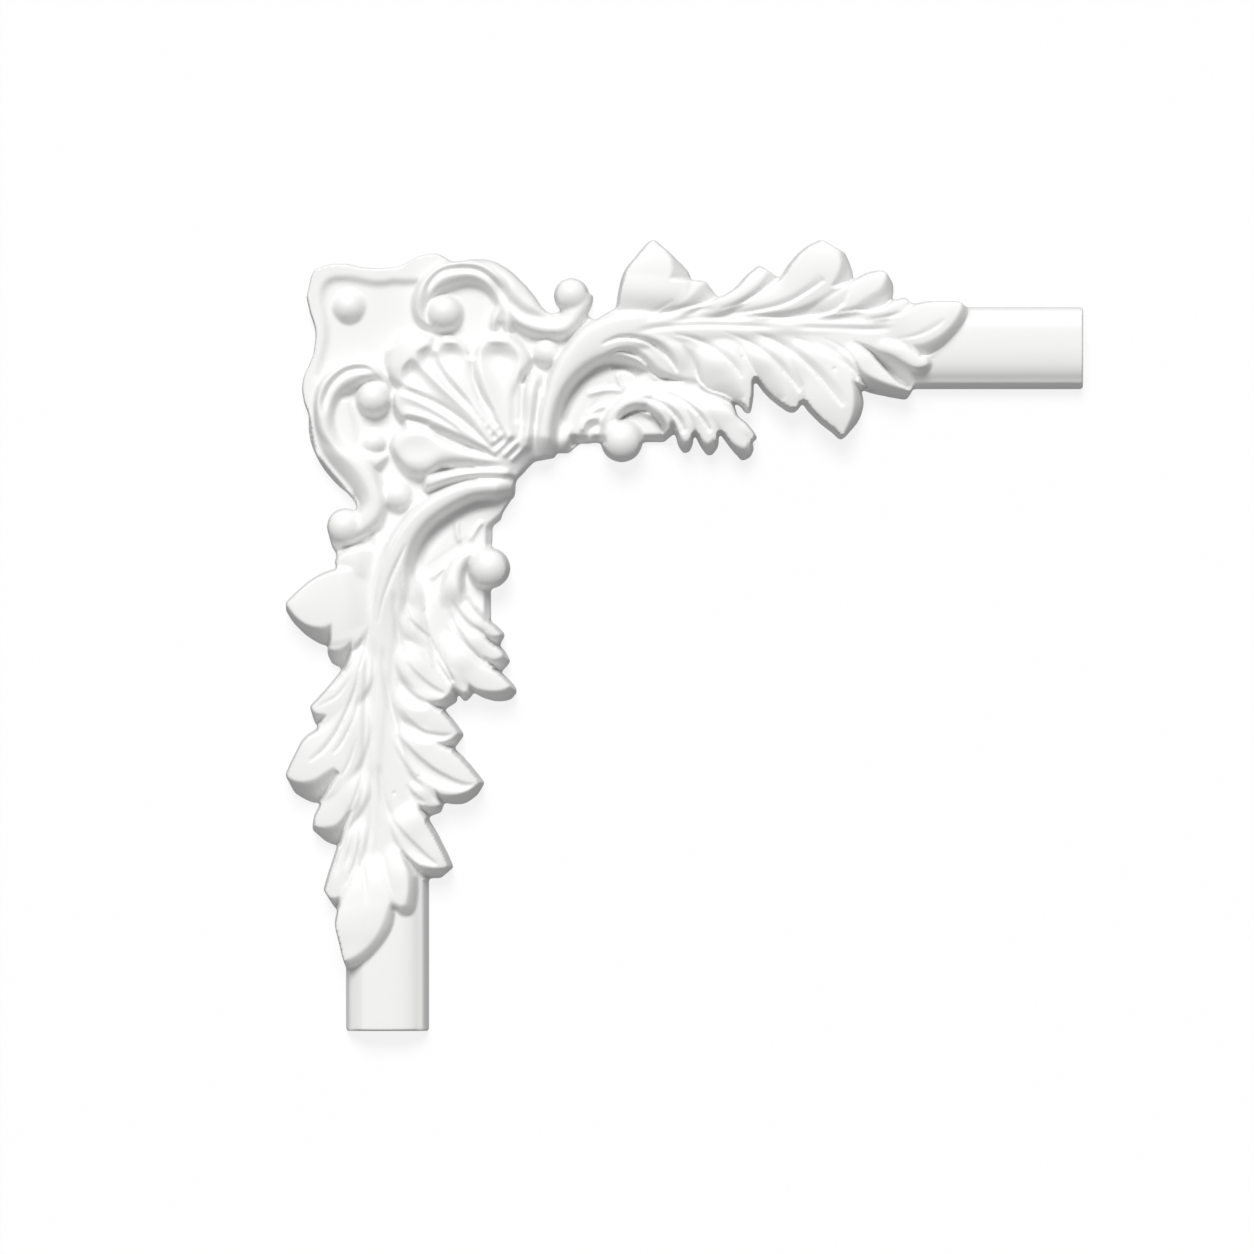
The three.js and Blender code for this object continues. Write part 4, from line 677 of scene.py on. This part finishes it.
def gathered(x, z, h):
    """The part of the grid that surface samples fall on, their mean in each cell, and the cells
    they cover. Each sample is shared among the four cells round it in proportion to nearness."""
    u = (np.ravel(x) - LEFT) / CELL
    v = (np.ravel(z) - LOW) / CELL
    h = np.ravel(h)
    i, j = np.floor(u).astype(int), np.floor(v).astype(int)
    i0, i1, j0, j1 = i.min(), i.max() + 2, j.min(), j.max() + 2
    size = (i1 - i0) * (j1 - j0)
    weight, total = np.zeros(size), np.zeros(size)
    for di in (0, 1):
        for dj in (0, 1):
            share = np.abs(1 - di - (u - i)) * np.abs(1 - dj - (v - j))
            cell = (i - i0 + di) * (j1 - j0) + (j - j0 + dj)
            weight += np.bincount(cell, share, size)
            total += np.bincount(cell, share * h, size)
    form = (i1 - i0, j1 - j0)
    mean = (total / np.maximum(weight, TINY)).reshape(form)
    return (slice(i0, i1), slice(j0, j1)), mean, (weight > COVER_WEIGHT).reshape(form)


def lay(x, z, h, blend=BLEND):
    """Puts a patch of surface samples on the relief."""
    part, mean, covered = gathered(x, z, h)
    join(height[part], np.where(covered, mean, EMPTY), blend)


def rounding(distance, wide, low):
    """Quarter of an ellipse: low at an edge, 1 from wide inwards."""
    return low + (1 - low) * np.sqrt(1 - (1 - np.clip(distance / wide, 0, 1)) ** 2)


def ruled(rows):
    """Samples of the surface between two edge curves: x, z, share across, span and height of
    the crown, at least two to a cell each way."""
    rows = np.asarray(rows, float)
    steps = [np.hypot(*np.diff(side, axis=0).T).max() for side in (rows[:, :2], rows[:, 2:4])]
    spans = np.hypot(*(rows[:, 2:4] - rows[:, :2]).T)
    along = (len(rows) - 1) * int(max(steps) * SAMPLES_ALONG / CELL) + 2
    across = int(spans.max() * SAMPLES_ACROSS / CELL) + 3
    line = spline(rows, along)
    u = np.linspace(0, 1, across)[None, :]
    ax, az, bx, bz, top = (line[:, k, None] for k in range(5))
    return ax + (bx - ax) * u, az + (bz - az) * u, u, np.hypot(bx - ax, bz - az), top


def band(rows, form, blend=BLEND):
    """A ruled surface. Across it, the height is the crown's parabola times a quarter-ellipse
    rounding in from either edge."""
    place, crown, wide_a, low_a, wide_b, low_b = form
    x, z, u, span, top = ruled(rows)
    h = top * (1 - crown * ((u - place) / max(place, 1 - place)) ** 2)
    h = h * rounding(u * span, wide_a, low_a) * rounding((1 - u) * span, wide_b, low_b)
    lay(x, z, h, blend)


def leaflet(rows):
    """A band whose crown keeps near one level and whose root dives under the midrib."""
    rows = np.asarray(rows, float).copy()
    rows[:, 4] = LEAF_LEVEL + LEAF_SWELL * (rows[:, 4] - LEAF_LEVEL)
    rows[0, 4] -= ROOT_DIVE
    band(rows, LEAF)


def scoop(rows, shape):
    """Lowers the relief inside a ruled strip by its depth times shape(share across), fading at
    both ends."""
    x, z, u, _, depth = ruled(rows)
    row = np.arange(len(x))
    ends = np.clip(np.minimum(row, row[::-1]) * CELL / SCOOP_FADE, 0, 1)[:, None]
    part, mean, covered = gathered(x, z, depth * ends * shape(u))
    height[part] -= np.where(covered, mean, 0)


def inside(outline, x, z):
    """True where a point lies inside a closed outline: where a ray to the right crosses an odd
    number of its sides."""
    result = np.zeros(x.shape, bool)
    for (ax, az), (bx, bz) in zip(outline, np.roll(outline, -1, axis=0)):
        if az != bz:
            crossing = ax + (z - az) * (bx - ax) / (bz - az)
            result ^= ((az > z) != (bz > z)) & (x < crossing)
    return result


def window(points, margin):
    """Slices of the grid that hold the points with a margin in millimetres."""
    points = np.asarray(points, float)
    low = ((points.min(0) - margin - [LEFT, LOW]) / CELL).astype(int)
    high = ((points.max(0) + margin - [LEFT, LOW]) / CELL).astype(int) + 2
    return (slice(max(low[0], 0), high[0]), slice(max(low[1], 0), high[1]))


def slab(outline, top):
    """A flat area inside an outline, at one height."""
    outline = np.asarray(outline, float)
    part = window(outline, 1)
    join(height[part], np.where(inside(outline, grid_x[part], grid_z[part]), top, EMPTY), BLEND)


def ball(x, z, radius, top):
    """A half ball: top - radius + square root of radius squared minus distance squared."""
    part = window([[x - radius, z - radius], [x + radius, z + radius]], 1)
    away = np.hypot(grid_x[part] - x, grid_z[part] - z)
    dome = top - radius + np.sqrt(np.clip(radius**2 - away**2, 0, None))
    join(height[part], np.where(away < radius, dome, EMPTY), BALL_BLEND)


def hollow(x, z, long, wide, turn, depth):
    """A shallow bowl: depth times a power of (1 - r squared) inside a turned ellipse."""
    part = window([[x - long, z - long], [x + long, z + long]], 1)
    c, s = math.cos(math.radians(turn)), math.sin(math.radians(turn))
    dx, dz = grid_x[part] - x, grid_z[part] - z
    r2 = ((dx * c + dz * s) / long) ** 2 + ((dz * c - dx * s) / wide) ** 2
    height[part] -= depth * np.clip(1 - r2, 0, None) ** DISH_CURVE


def near_path(points, x, z):
    """Distance to a path and the place along it from 0 to 1, at its nearest straight piece."""
    points = spline(points, PATH_PIECES * (len(points) - 1) + 1)
    lengths = np.hypot(*np.diff(points, axis=0).T)
    start = np.concatenate([[0], np.cumsum(lengths)])
    best = np.full(x.shape, np.inf)
    place = np.zeros(x.shape)
    for k, (a, b) in enumerate(zip(points[:-1], points[1:])):
        dx, dz = (b - a) / max(lengths[k], TINY)
        t = np.clip((x - a[0]) * dx + (z - a[1]) * dz, 0, lengths[k])
        away = np.hypot(x - a[0] - t * dx, z - a[1] - t * dz)
        closer = away < best
        best = np.where(closer, away, best)
        place = np.where(closer, (start[k] + t) / start[-1], place)
    return best, place


def crease(depth, points, reach):
    """A line cut to the depth: it fades as a bell over the reach and smoothly to both ends."""
    part = window(points, LINE_MARGIN * reach)
    away, place = near_path(points, grid_x[part], grid_z[part])
    ends = np.clip(place * FADE_IN, 0, 1) * np.clip((1 - place) * FADE_OUT, 0, 1)
    fade = np.exp(-((away / reach) ** 2)) * ends * ends * (3 - 2 * ends)
    height[part] -= depth * fade


def blurred(field, sigma):
    """Mean along both axes of the grid, weighted by exp(-0.5 (distance / sigma)^2) out to three
    times sigma."""
    half = int(3 * sigma / CELL) + 1
    kernel = np.exp(-0.5 * (np.arange(-half, half + 1) * CELL / sigma) ** 2)
    kernel /= kernel.sum()
    for axis in (0, 1):
        field = sum(k * np.roll(field, n - half, axis) for n, k in enumerate(kernel))
    return field


def softened(field, covered, sigma):
    """The blurred mean over the covered cells alone."""
    share = blurred(covered.astype(float), sigma)
    return blurred(np.where(covered, field, 0), sigma) / np.maximum(share, FAINT)


def stub(start, end, place):
    """The moulding's profile carried straight along one arm, rounded off at the cut end."""
    profile = spline(MOULDING, PROFILE_POINTS)
    u = np.linspace(-STUB_HALF, STUB_HALF, STUB_POINTS[1])[None, :]
    along = np.linspace(start, end, STUB_POINTS[0])[:, None]
    soft = 1 - END_DROP * np.clip(1 - (end - along) / END_ROUNDING, 0, 1) ** 2
    h = np.interp(u, profile[:, 0], profile[:, 1]) * soft
    x, z = place(along + 0 * u, u + 0 * along)
    lay(x, z, h)


# The ground: the plate with its sunk panel, the webs and the two stubs
slab(PLATE, RIM)
floor = window(PANEL, 1)
lowered = inside(np.array(PANEL, float), grid_x[floor], grid_z[floor])
height[floor] = np.where(lowered & (height[floor] > 0), FLOOR, height[floor])
height = np.where(height > 0, softened(height, height > 0, RIM_SOFT), EMPTY)
for web in WEBS:
    slab(web, FLOOR)
stub(STUB_START, RIGHT_REACH, lambda along, u: (along, -u))
stub(STUB_START, DOWN_REACH, lambda along, u: (u, -along))
beneath = height.copy()

# The ornaments, each joined to what lies under it
slab(CORE, CORE_HEIGHT)
slab(SHELL_BED, BED_HEIGHT)
for rows in BLADES:
    band(rows, BLADE)
for rows in INNER_STEMS:
    band(rows, CRESCENT)
for rows in INNER_LEAVES + RIGHT_LEAF + LEFT_LEAF:
    leaflet(rows)
for rows in CRESCENTS:
    band(rows, CRESCENT)
for rows in STALKS:
    band(rows, STALK, STALK_BLEND)
for rows in SHELL:
    band(rows, FLUTE)
band(SHELL_KNOB, KNOB)
for x, z, half in RIBS:
    left, right = (
        [x + end - RIB_HALF, z + end + RIB_HALF, x + end + RIB_HALF, z + end - RIB_HALF, RIB_HEIGHT]
        for end in (-half, half)
    )
    band([left, right], RIB, RIB_BLEND)
band(TOP_C, SCROLL)
band(TOP_S, SLOPE)
band(LEFT_C, SCROLL)
band(LEFT_S, SLOPE)
for rows in SMALL_ENDS:
    band(rows, CRESCENT)
for item in BALLS:
    ball(*item)
for item in HOLLOWS:
    hollow(*item)

# The cuts, none of the undersides deeper than the ground
covered = height > 0
height = softened(height, covered, SHARP)
for rows in UNDERSIDES:
    scoop(rows, lambda u: u**UNDERSIDE_CURVE)
height = np.where(beneath > 0, np.maximum(height, beneath), height)
for rows in FURROWS:
    scoop(rows, lambda u: FURROW_SHARE * u**FURROW_CURVE)
for rows in PITS:
    scoop(rows, lambda u: u**PIT_CURVE)
for rows in FLUTES:
    scoop(rows, lambda u: np.sin(np.pi * u))
for rows in COVES:
    scoop(rows, lambda u: COVE_SHARE * np.sin(np.pi * np.sqrt(u)))
for depth, reach, points in CHANNELS:
    crease(depth, points, reach)
for points in VEINS:
    crease(VEIN_DEPTH, points, VEIN_REACH)
for x, z in PINHOLES:
    hollow(x, z, *PINHOLE)
height = softened(height, covered, SKIN_SOFT)

# Distance to the outline, read back from a blurred mask by the bell's running sum
share = blurred(covered.astype(float), EDGE)
steps = np.linspace(-BELL_REACH, BELL_REACH, BELL_STEPS)
bell = np.cumsum(np.exp(-0.5 * steps**2))
edge = EDGE * np.interp(share, bell / bell[-1], steps)

# The relief cut down to a wall that leans in from the outline: the lower of the two, rounded
# where they cross, with the wall rising as slope * e * (1 + (e / lean)^4) at a distance e from
# the outline. It is carried on past the outline, below the back, for the slopes at the rim.
wall = WALL_SLOPE * edge * (1 + (edge / WALL_LEAN) ** 4)
near = np.clip(WALL_BLEND - np.abs(height - wall), 0, None)
skin_height = np.minimum(height, wall) - near**2 / (4 * WALL_BLEND)


# The casting's mesh: one quad per mesh cell inside the outline, the outermost vertices drawn onto
# the outline at the back, the next two rings onto lines along it, and the flat back closed by
# one face
PIECE = "casting"
MESH_STEP = 2  # cells of the relief to each quad
RINGS = (0.5, 1.1)  # millimetres in from the outline
RING_SHIFT = 0.45  # the most a vertex of a ring moves
LEAST_SLOPE = 0.3  # of the distance to the outline, which is 1 but for ridges and hollows
RING_SLOPE = 0.75  # below this a vertex stays out of the rings
LEAST_HEIGHT = 0.02  # of a vertex that isn't on the outline
PRUNINGS = 4  # rounds that take off single rows of cells, and cells that meet at a corner alone
x = grid_x[::MESH_STEP, ::MESH_STEP]
z = grid_z[::MESH_STEP, ::MESH_STEP]
away = edge[::MESH_STEP, ::MESH_STEP]
slope_x, slope_z = (part[::MESH_STEP, ::MESH_STEP] for part in np.gradient(edge, CELL))

usable = away > -0.5 * MESH_STEP * CELL
cells = usable[:-1, :-1] & usable[1:, :-1] & usable[:-1, 1:] & usable[1:, 1:]


def corner_counts(cells):
    """How many of the four cells round each vertex are filled."""
    counts = np.zeros((cells.shape[0] + 1, cells.shape[1] + 1), int)
    for di in (0, 1):
        for dj in (0, 1):
            counts[di : di + cells.shape[0], dj : dj + cells.shape[1]] += cells
    return counts


for _ in range(PRUNINGS):
    rim = corner_counts(cells) < 4
    cells = cells & ~(rim[:-1, :-1] & rim[1:, :-1] & rim[:-1, 1:] & rim[1:, 1:])
    pinched = cells[:-1, :-1] & cells[1:, 1:] & ~cells[1:, :-1] & ~cells[:-1, 1:]
    cells[:-1, :-1] &= ~pinched
    pinched = cells[1:, :-1] & cells[:-1, 1:] & ~cells[:-1, :-1] & ~cells[1:, 1:]
    cells[1:, :-1] &= ~pinched


def beside(marked):
    """The marked vertices and all that touch them."""
    for axis in (0, 1):
        marked = marked | np.roll(marked, 1, axis) | np.roll(marked, -1, axis)
    return marked


def sampled(field, x, z):
    """The grid's field at any places, from the four cells round each in proportion to nearness."""
    u, v = (x - LEFT) / CELL, (z - LOW) / CELL
    i = np.clip(u.astype(int), 0, width - 2)
    j = np.clip(v.astype(int), 0, tall - 2)
    u, v = u - i, v - j
    low = field[i, j] * (1 - u) + field[i + 1, j] * u
    high = field[i, j + 1] * (1 - u) + field[i + 1, j + 1] * u
    return low * (1 - v) + high * v


counts = corner_counts(cells)
rim = (counts > 0) & (counts < 4)
steep = np.maximum(np.hypot(slope_x, slope_z), LEAST_SLOPE)
shift = np.where(rim, -away / steep, 0)
ring = rim
for distance in RINGS:
    ring = beside(ring) & (counts == 4) & ~ring
    toward = np.clip((distance - away) / steep, -RING_SHIFT, RING_SHIFT)
    shift = np.where(ring & (shift == 0) & (steep > RING_SLOPE), toward, shift)
x = x + shift * slope_x / steep
z = z + shift * slope_z / steep

used = counts > 0
number = np.cumsum(used).reshape(used.shape) - 1
top = np.where(rim, 0, np.maximum(sampled(skin_height, x, z), LEAST_HEIGHT))
vertices = np.stack([x[used], -top[used], z[used]], axis=1) * MM
vertices = np.clip(vertices, np.array(cad_box[0]), np.array(cad_box[1]))
rise_x, rise_z = (sampled(part, x, z)[used] for part in np.gradient(skin_height, CELL))
normals = np.stack([-rise_x, -np.ones_like(rise_x), -rise_z], axis=1)
normals /= np.linalg.norm(normals, axis=1, keepdims=True)
i, j = np.nonzero(cells)
quads = np.stack([number[i, j], number[i + 1, j], number[i + 1, j + 1], number[i, j + 1]], axis=1)

mesh = bpy.data.meshes.new(PIECE)
mesh.from_pydata(vertices.tolist(), [], quads.tolist())

# How far each vertex lies below the mean height round it, in millimetres, for the material's
# painted shade and extra roughness in the hollows
RECESS_SPREAD = 2.0
RECESS_LIMIT = 3.0
LEAST_SHARE = 0.3
around = blurred(np.where(covered, height, 0), RECESS_SPREAD)
around /= np.maximum(blurred(covered.astype(float), RECESS_SPREAD), LEAST_SHARE)
depth = (around - height)[::MESH_STEP, ::MESH_STEP][used]
recess = mesh.attributes.new("recess", "FLOAT", "POINT")
recess.data.foreach_set("value", np.clip(depth, -RECESS_LIMIT, RECESS_LIMIT).astype(np.float32))

# The back, a flat face of the second material with a sharp edge all round
shape = bmesh.new()
shape.from_mesh(mesh)
for face in shape.faces:
    face.smooth = True
border = [line for line in shape.edges if line.is_boundary]
for face in bmesh.ops.holes_fill(shape, edges=border, sides=0)["faces"]:
    face.smooth = False
    face.material_index = 1
    if face.normal.y < 0:
        face.normal_flip()
for line in border:
    line.smooth = False
shape.to_mesh(mesh)
shape.free()

# Shading normals of the front from the fine grid; the back keeps its own
corner_vertex = np.empty(len(mesh.loops), int)
mesh.loops.foreach_get("vertex_index", corner_vertex)
corner_normal = normals[corner_vertex]
corner_normal[len(quads) * 4 :] = (0, 1, 0)
mesh.normals_split_custom_set(corner_normal.tolist())
casting = bpy.data.objects.new(PIECE, mesh)
bpy.context.scene.collection.objects.link(casting)


class Value:
    """A node's output, which +, - and * join with numbers or other outputs by Math nodes."""

    def __init__(self, nodes, socket):
        self.nodes = nodes
        self.socket = socket

    def math(self, operation, other, turned=False):
        pair = (other, self) if turned else (self, other)
        return self.nodes.add("ShaderNodeMath", {"operation": operation}, dict(enumerate(pair)))

    def __add__(self, other):
        return self.math("ADD", other)

    def __sub__(self, other):
        return self.math("SUBTRACT", other)

    def __rsub__(self, other):
        return self.math("SUBTRACT", other, turned=True)

    def __mul__(self, other):
        return self.math("MULTIPLY", other)

    __radd__ = __add__
    __rmul__ = __mul__

    def clamped(self):
        """Kept between 0 and 1."""
        return self.math("MAXIMUM", 0.0).math("MINIMUM", 1.0)


class Finish:
    """A node material. add() makes a node from its type, its settings, and its sockets' values
    or links."""

    def __init__(self, name):
        self.material = bpy.data.materials.new(name)
        self.material.use_nodes = True
        self.tree = self.material.node_tree
        self.tree.nodes.clear()

    def add(self, kind, settings=None, sockets=None, output=0):
        node = self.tree.nodes.new(kind)
        for name, value in (settings or {}).items():
            setattr(node, name, value)
        for name, value in (sockets or {}).items():
            if isinstance(value, Value):
                self.tree.links.new(value.socket, node.inputs[name])
            else:
                node.inputs[name].default_value = value
        return Value(self, node.outputs[output])

    def noise(self, place, scale, detail):
        sockets = {"Vector": place, "Scale": scale, "Detail": detail}
        return self.add("ShaderNodeTexNoise", {}, sockets)

    def mix(self, share, one, other):
        """Colour: one where share is 0, the other where it is 1."""
        sockets = {0: share, 6: one, 7: other}
        return self.add("ShaderNodeMix", {"data_type": "RGBA"}, sockets, output=2)

    def bump(self, strength, distance, height):
        sockets = {"Strength": strength, "Distance": distance, "Height": height}
        return self.add("ShaderNodeBump", {}, sockets)

    def principled(self, tone, gloss, skin):
        """The material with this colour, roughness and bump."""
        sockets = {"Base Color": tone, "Roughness": gloss, "Normal": skin}
        return self.surface(self.add("ShaderNodeBsdfPrincipled", {}, sockets))

    def surface(self, shader):
        """The material, once the shader is linked to its output."""
        output = self.tree.nodes.new("ShaderNodeOutputMaterial")
        self.tree.links.new(shader.socket, output.inputs["Surface"])
        return self.material


# White primer: a warmer tint in large soft clouds, painted shade (a little grey) in the hollows,
# and a fine grain
PRIMER = (0.885, 0.885, 0.88, 1)
PRIMER_WARM = (0.872, 0.869, 0.86, 1)
# Painted shade: the grey that the hollows are darkened towards
PAINTED_SHADE_GREY = (0.78, 0.78, 0.78, 1)
CLOUDS, RIPPLE, GRAIN = 28, 160, 900  # patterns to the metre
WARM_RISE, WARM_START = 1.6, 0.45  # the warm tint's share is clouds * rise - start
PAINTED_SHADE_PER_MM = 0.22  # of the grey for each millimetre of recess
PRIMER_GLOSS = 0.52  # roughness between the clouds
CLOUD_GLOSS, GRAIN_GLOSS, HOLLOW_GLOSS = 0.12, 0.10, 0.12  # what each pattern changes it by
BUMP_STRENGTH = 0.22
BUMP_HEIGHT = 0.00012
GRAIN_BUMP = 0.35  # the grain's height beside the ripple's

primer = Finish("white_primer")
place = primer.add("ShaderNodeTexCoord", output="Object")
clouds = primer.noise(place, CLOUDS, 4)
grain = primer.noise(place, GRAIN, 2)
ripple = primer.noise(place, RIPPLE, 3)
recess_depth = primer.add("ShaderNodeAttribute", {"attribute_name": "recess"}, output="Fac")
# Painted shade: its share grows with the recess depth; the same share also roughens the hollows
painted_shade_share = (recess_depth * PAINTED_SHADE_PER_MM).clamped()
tone = primer.mix((clouds * WARM_RISE - WARM_START).clamped(), PRIMER, PRIMER_WARM)
# Painted shade laid over the tinted white in the hollows
tone = primer.mix((painted_shade_share * (0.5 + ripple)).clamped(), tone, PAINTED_SHADE_GREY)
gloss = PRIMER_GLOSS + (clouds - 0.5) * CLOUD_GLOSS + (grain - 0.5) * GRAIN_GLOSS
gloss = (gloss + painted_shade_share * HOLLOW_GLOSS).clamped()
skin = primer.bump(BUMP_STRENGTH, BUMP_HEIGHT, grain * GRAIN_BUMP + ripple)
casting.data.materials.append(primer.principled(tone, gloss, skin))

# The flat back, bare where it was glued: plainer and a little rougher
BACK_PALE = (0.86, 0.86, 0.85, 1)
BACK_DULL = (0.79, 0.785, 0.775, 1)
BACK_CLOUDS, BACK_GRAIN = 45, 700
DULL_RISE, DULL_START = 1.5, 0.4  # the duller tint's share, as the warm one's above
DULL_SPECKLE = 0.4  # what the grain changes it by
BACK_GLOSS = 0.68
BACK_GRAIN_GLOSS = 0.2
BACK_BUMP_STRENGTH = 0.3
BACK_BUMP_HEIGHT = 0.0002
BACK_GRAIN_BUMP, BACK_CLOUD_BUMP = 0.5, 0.8

bare = Finish("bare_back")
place = bare.add("ShaderNodeTexCoord", output="Object")
clouds = bare.noise(place, BACK_CLOUDS, 4)
grain = bare.noise(place, BACK_GRAIN, 3)
dull = clouds * DULL_RISE - DULL_START + (grain - 0.5) * DULL_SPECKLE
tone = bare.mix(dull.clamped(), BACK_PALE, BACK_DULL)
gloss = (BACK_GLOSS + (grain - 0.5) * BACK_GRAIN_GLOSS).clamped()
relief = grain * BACK_GRAIN_BUMP + clouds * BACK_CLOUD_BUMP
skin = bare.bump(BACK_BUMP_STRENGTH, BACK_BUMP_HEIGHT, relief)
casting.data.materials.append(bare.principled(tone, gloss, skin))

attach(casting, "root")
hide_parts("moulding_corner")

# The wall behind the casting: it takes shadows, and is clear from behind, where the back shows
WALL_HALF = 3.0
WALL_GAP = 0.0006
WALL_WHITE = (0.98, 0.98, 0.98, 1)
SHADOW_SHARE = 0.18  # how much of the wall's brightness a shadow can take away
signs = ((-1, -1), (1, -1), (1, 1), (-1, 1))
corners = [(x * WALL_HALF, WALL_GAP, z * WALL_HALF) for x, z in signs]
wall_mesh = bpy.data.meshes.new("wall")
wall_mesh.from_pydata(corners, [], [(0, 1, 2, 3)])
wall_object = bpy.data.objects.new("wall", wall_mesh)
bpy.context.scene.collection.objects.link(wall_object)
paper = Finish("wall_paint")
seen = paper.add("ShaderNodeLightPath", output="Is Camera Ray")
front = 1 - paper.add("ShaderNodeNewGeometry", output="Backfacing")
matte = paper.add("ShaderNodeBsdfDiffuse", {}, {"Color": WALL_WHITE})
glow = paper.add("ShaderNodeEmission", {}, {"Color": (1, 1, 1, 1), "Strength": 1.0})
matte = paper.add("ShaderNodeMixShader", {}, {0: SHADOW_SHARE, 1: glow, 2: matte})
clear = paper.add("ShaderNodeBsdfTransparent")
mixed = paper.add("ShaderNodeMixShader", {}, {0: seen * front, 1: clear, 2: matte})
wall_mesh.materials.append(paper.surface(mixed))

# Soft light from above, a little from the left, over an even surround
SUN_FROM = Vector((-0.09, -0.79, 0.61))
SUN_STRENGTH = 2.7
SUN_SPREAD = 26  # degrees
SURROUND = 0.325
sun = bpy.data.lights.new("softbox", "SUN")
sun.energy = SUN_STRENGTH
sun.angle = math.radians(SUN_SPREAD)
sun_object = bpy.data.objects.new("softbox", sun)
sun_object.rotation_euler = SUN_FROM.to_track_quat("Z", "Y").to_euler()
bpy.context.scene.collection.objects.link(sun_object)
world = bpy.data.worlds.new("studio")
world.use_nodes = True
surround = world.node_tree.nodes["Background"].inputs
surround["Color"].default_value = (1, 1, 1, 1)
surround["Strength"].default_value = SURROUND
bpy.context.scene.world = world
bpy.context.scene.view_settings.view_transform = "Standard"
bpy.context.scene.view_settings.look = "None"

# The camera looks straight at the wall, as in the photograph
VIEW_WIDTH = 0.47025  # metres across the picture at the wall
VIEW_CENTRE = (0.0898, -0.1046)
VIEW_DISTANCE = 1.8
SENSOR = 36  # millimetres
camera = bpy.data.cameras.new("camera")
camera.sensor_width = SENSOR
camera.lens = SENSOR * VIEW_DISTANCE / VIEW_WIDTH
camera.clip_end = 50
camera_object = bpy.data.objects.new("camera", camera)
camera_object.location = (VIEW_CENTRE[0], -VIEW_DISTANCE, VIEW_CENTRE[1])
camera_object.rotation_euler = (math.pi / 2, 0, 0)
bpy.context.scene.collection.objects.link(camera_object)
bpy.context.scene.camera = camera_object
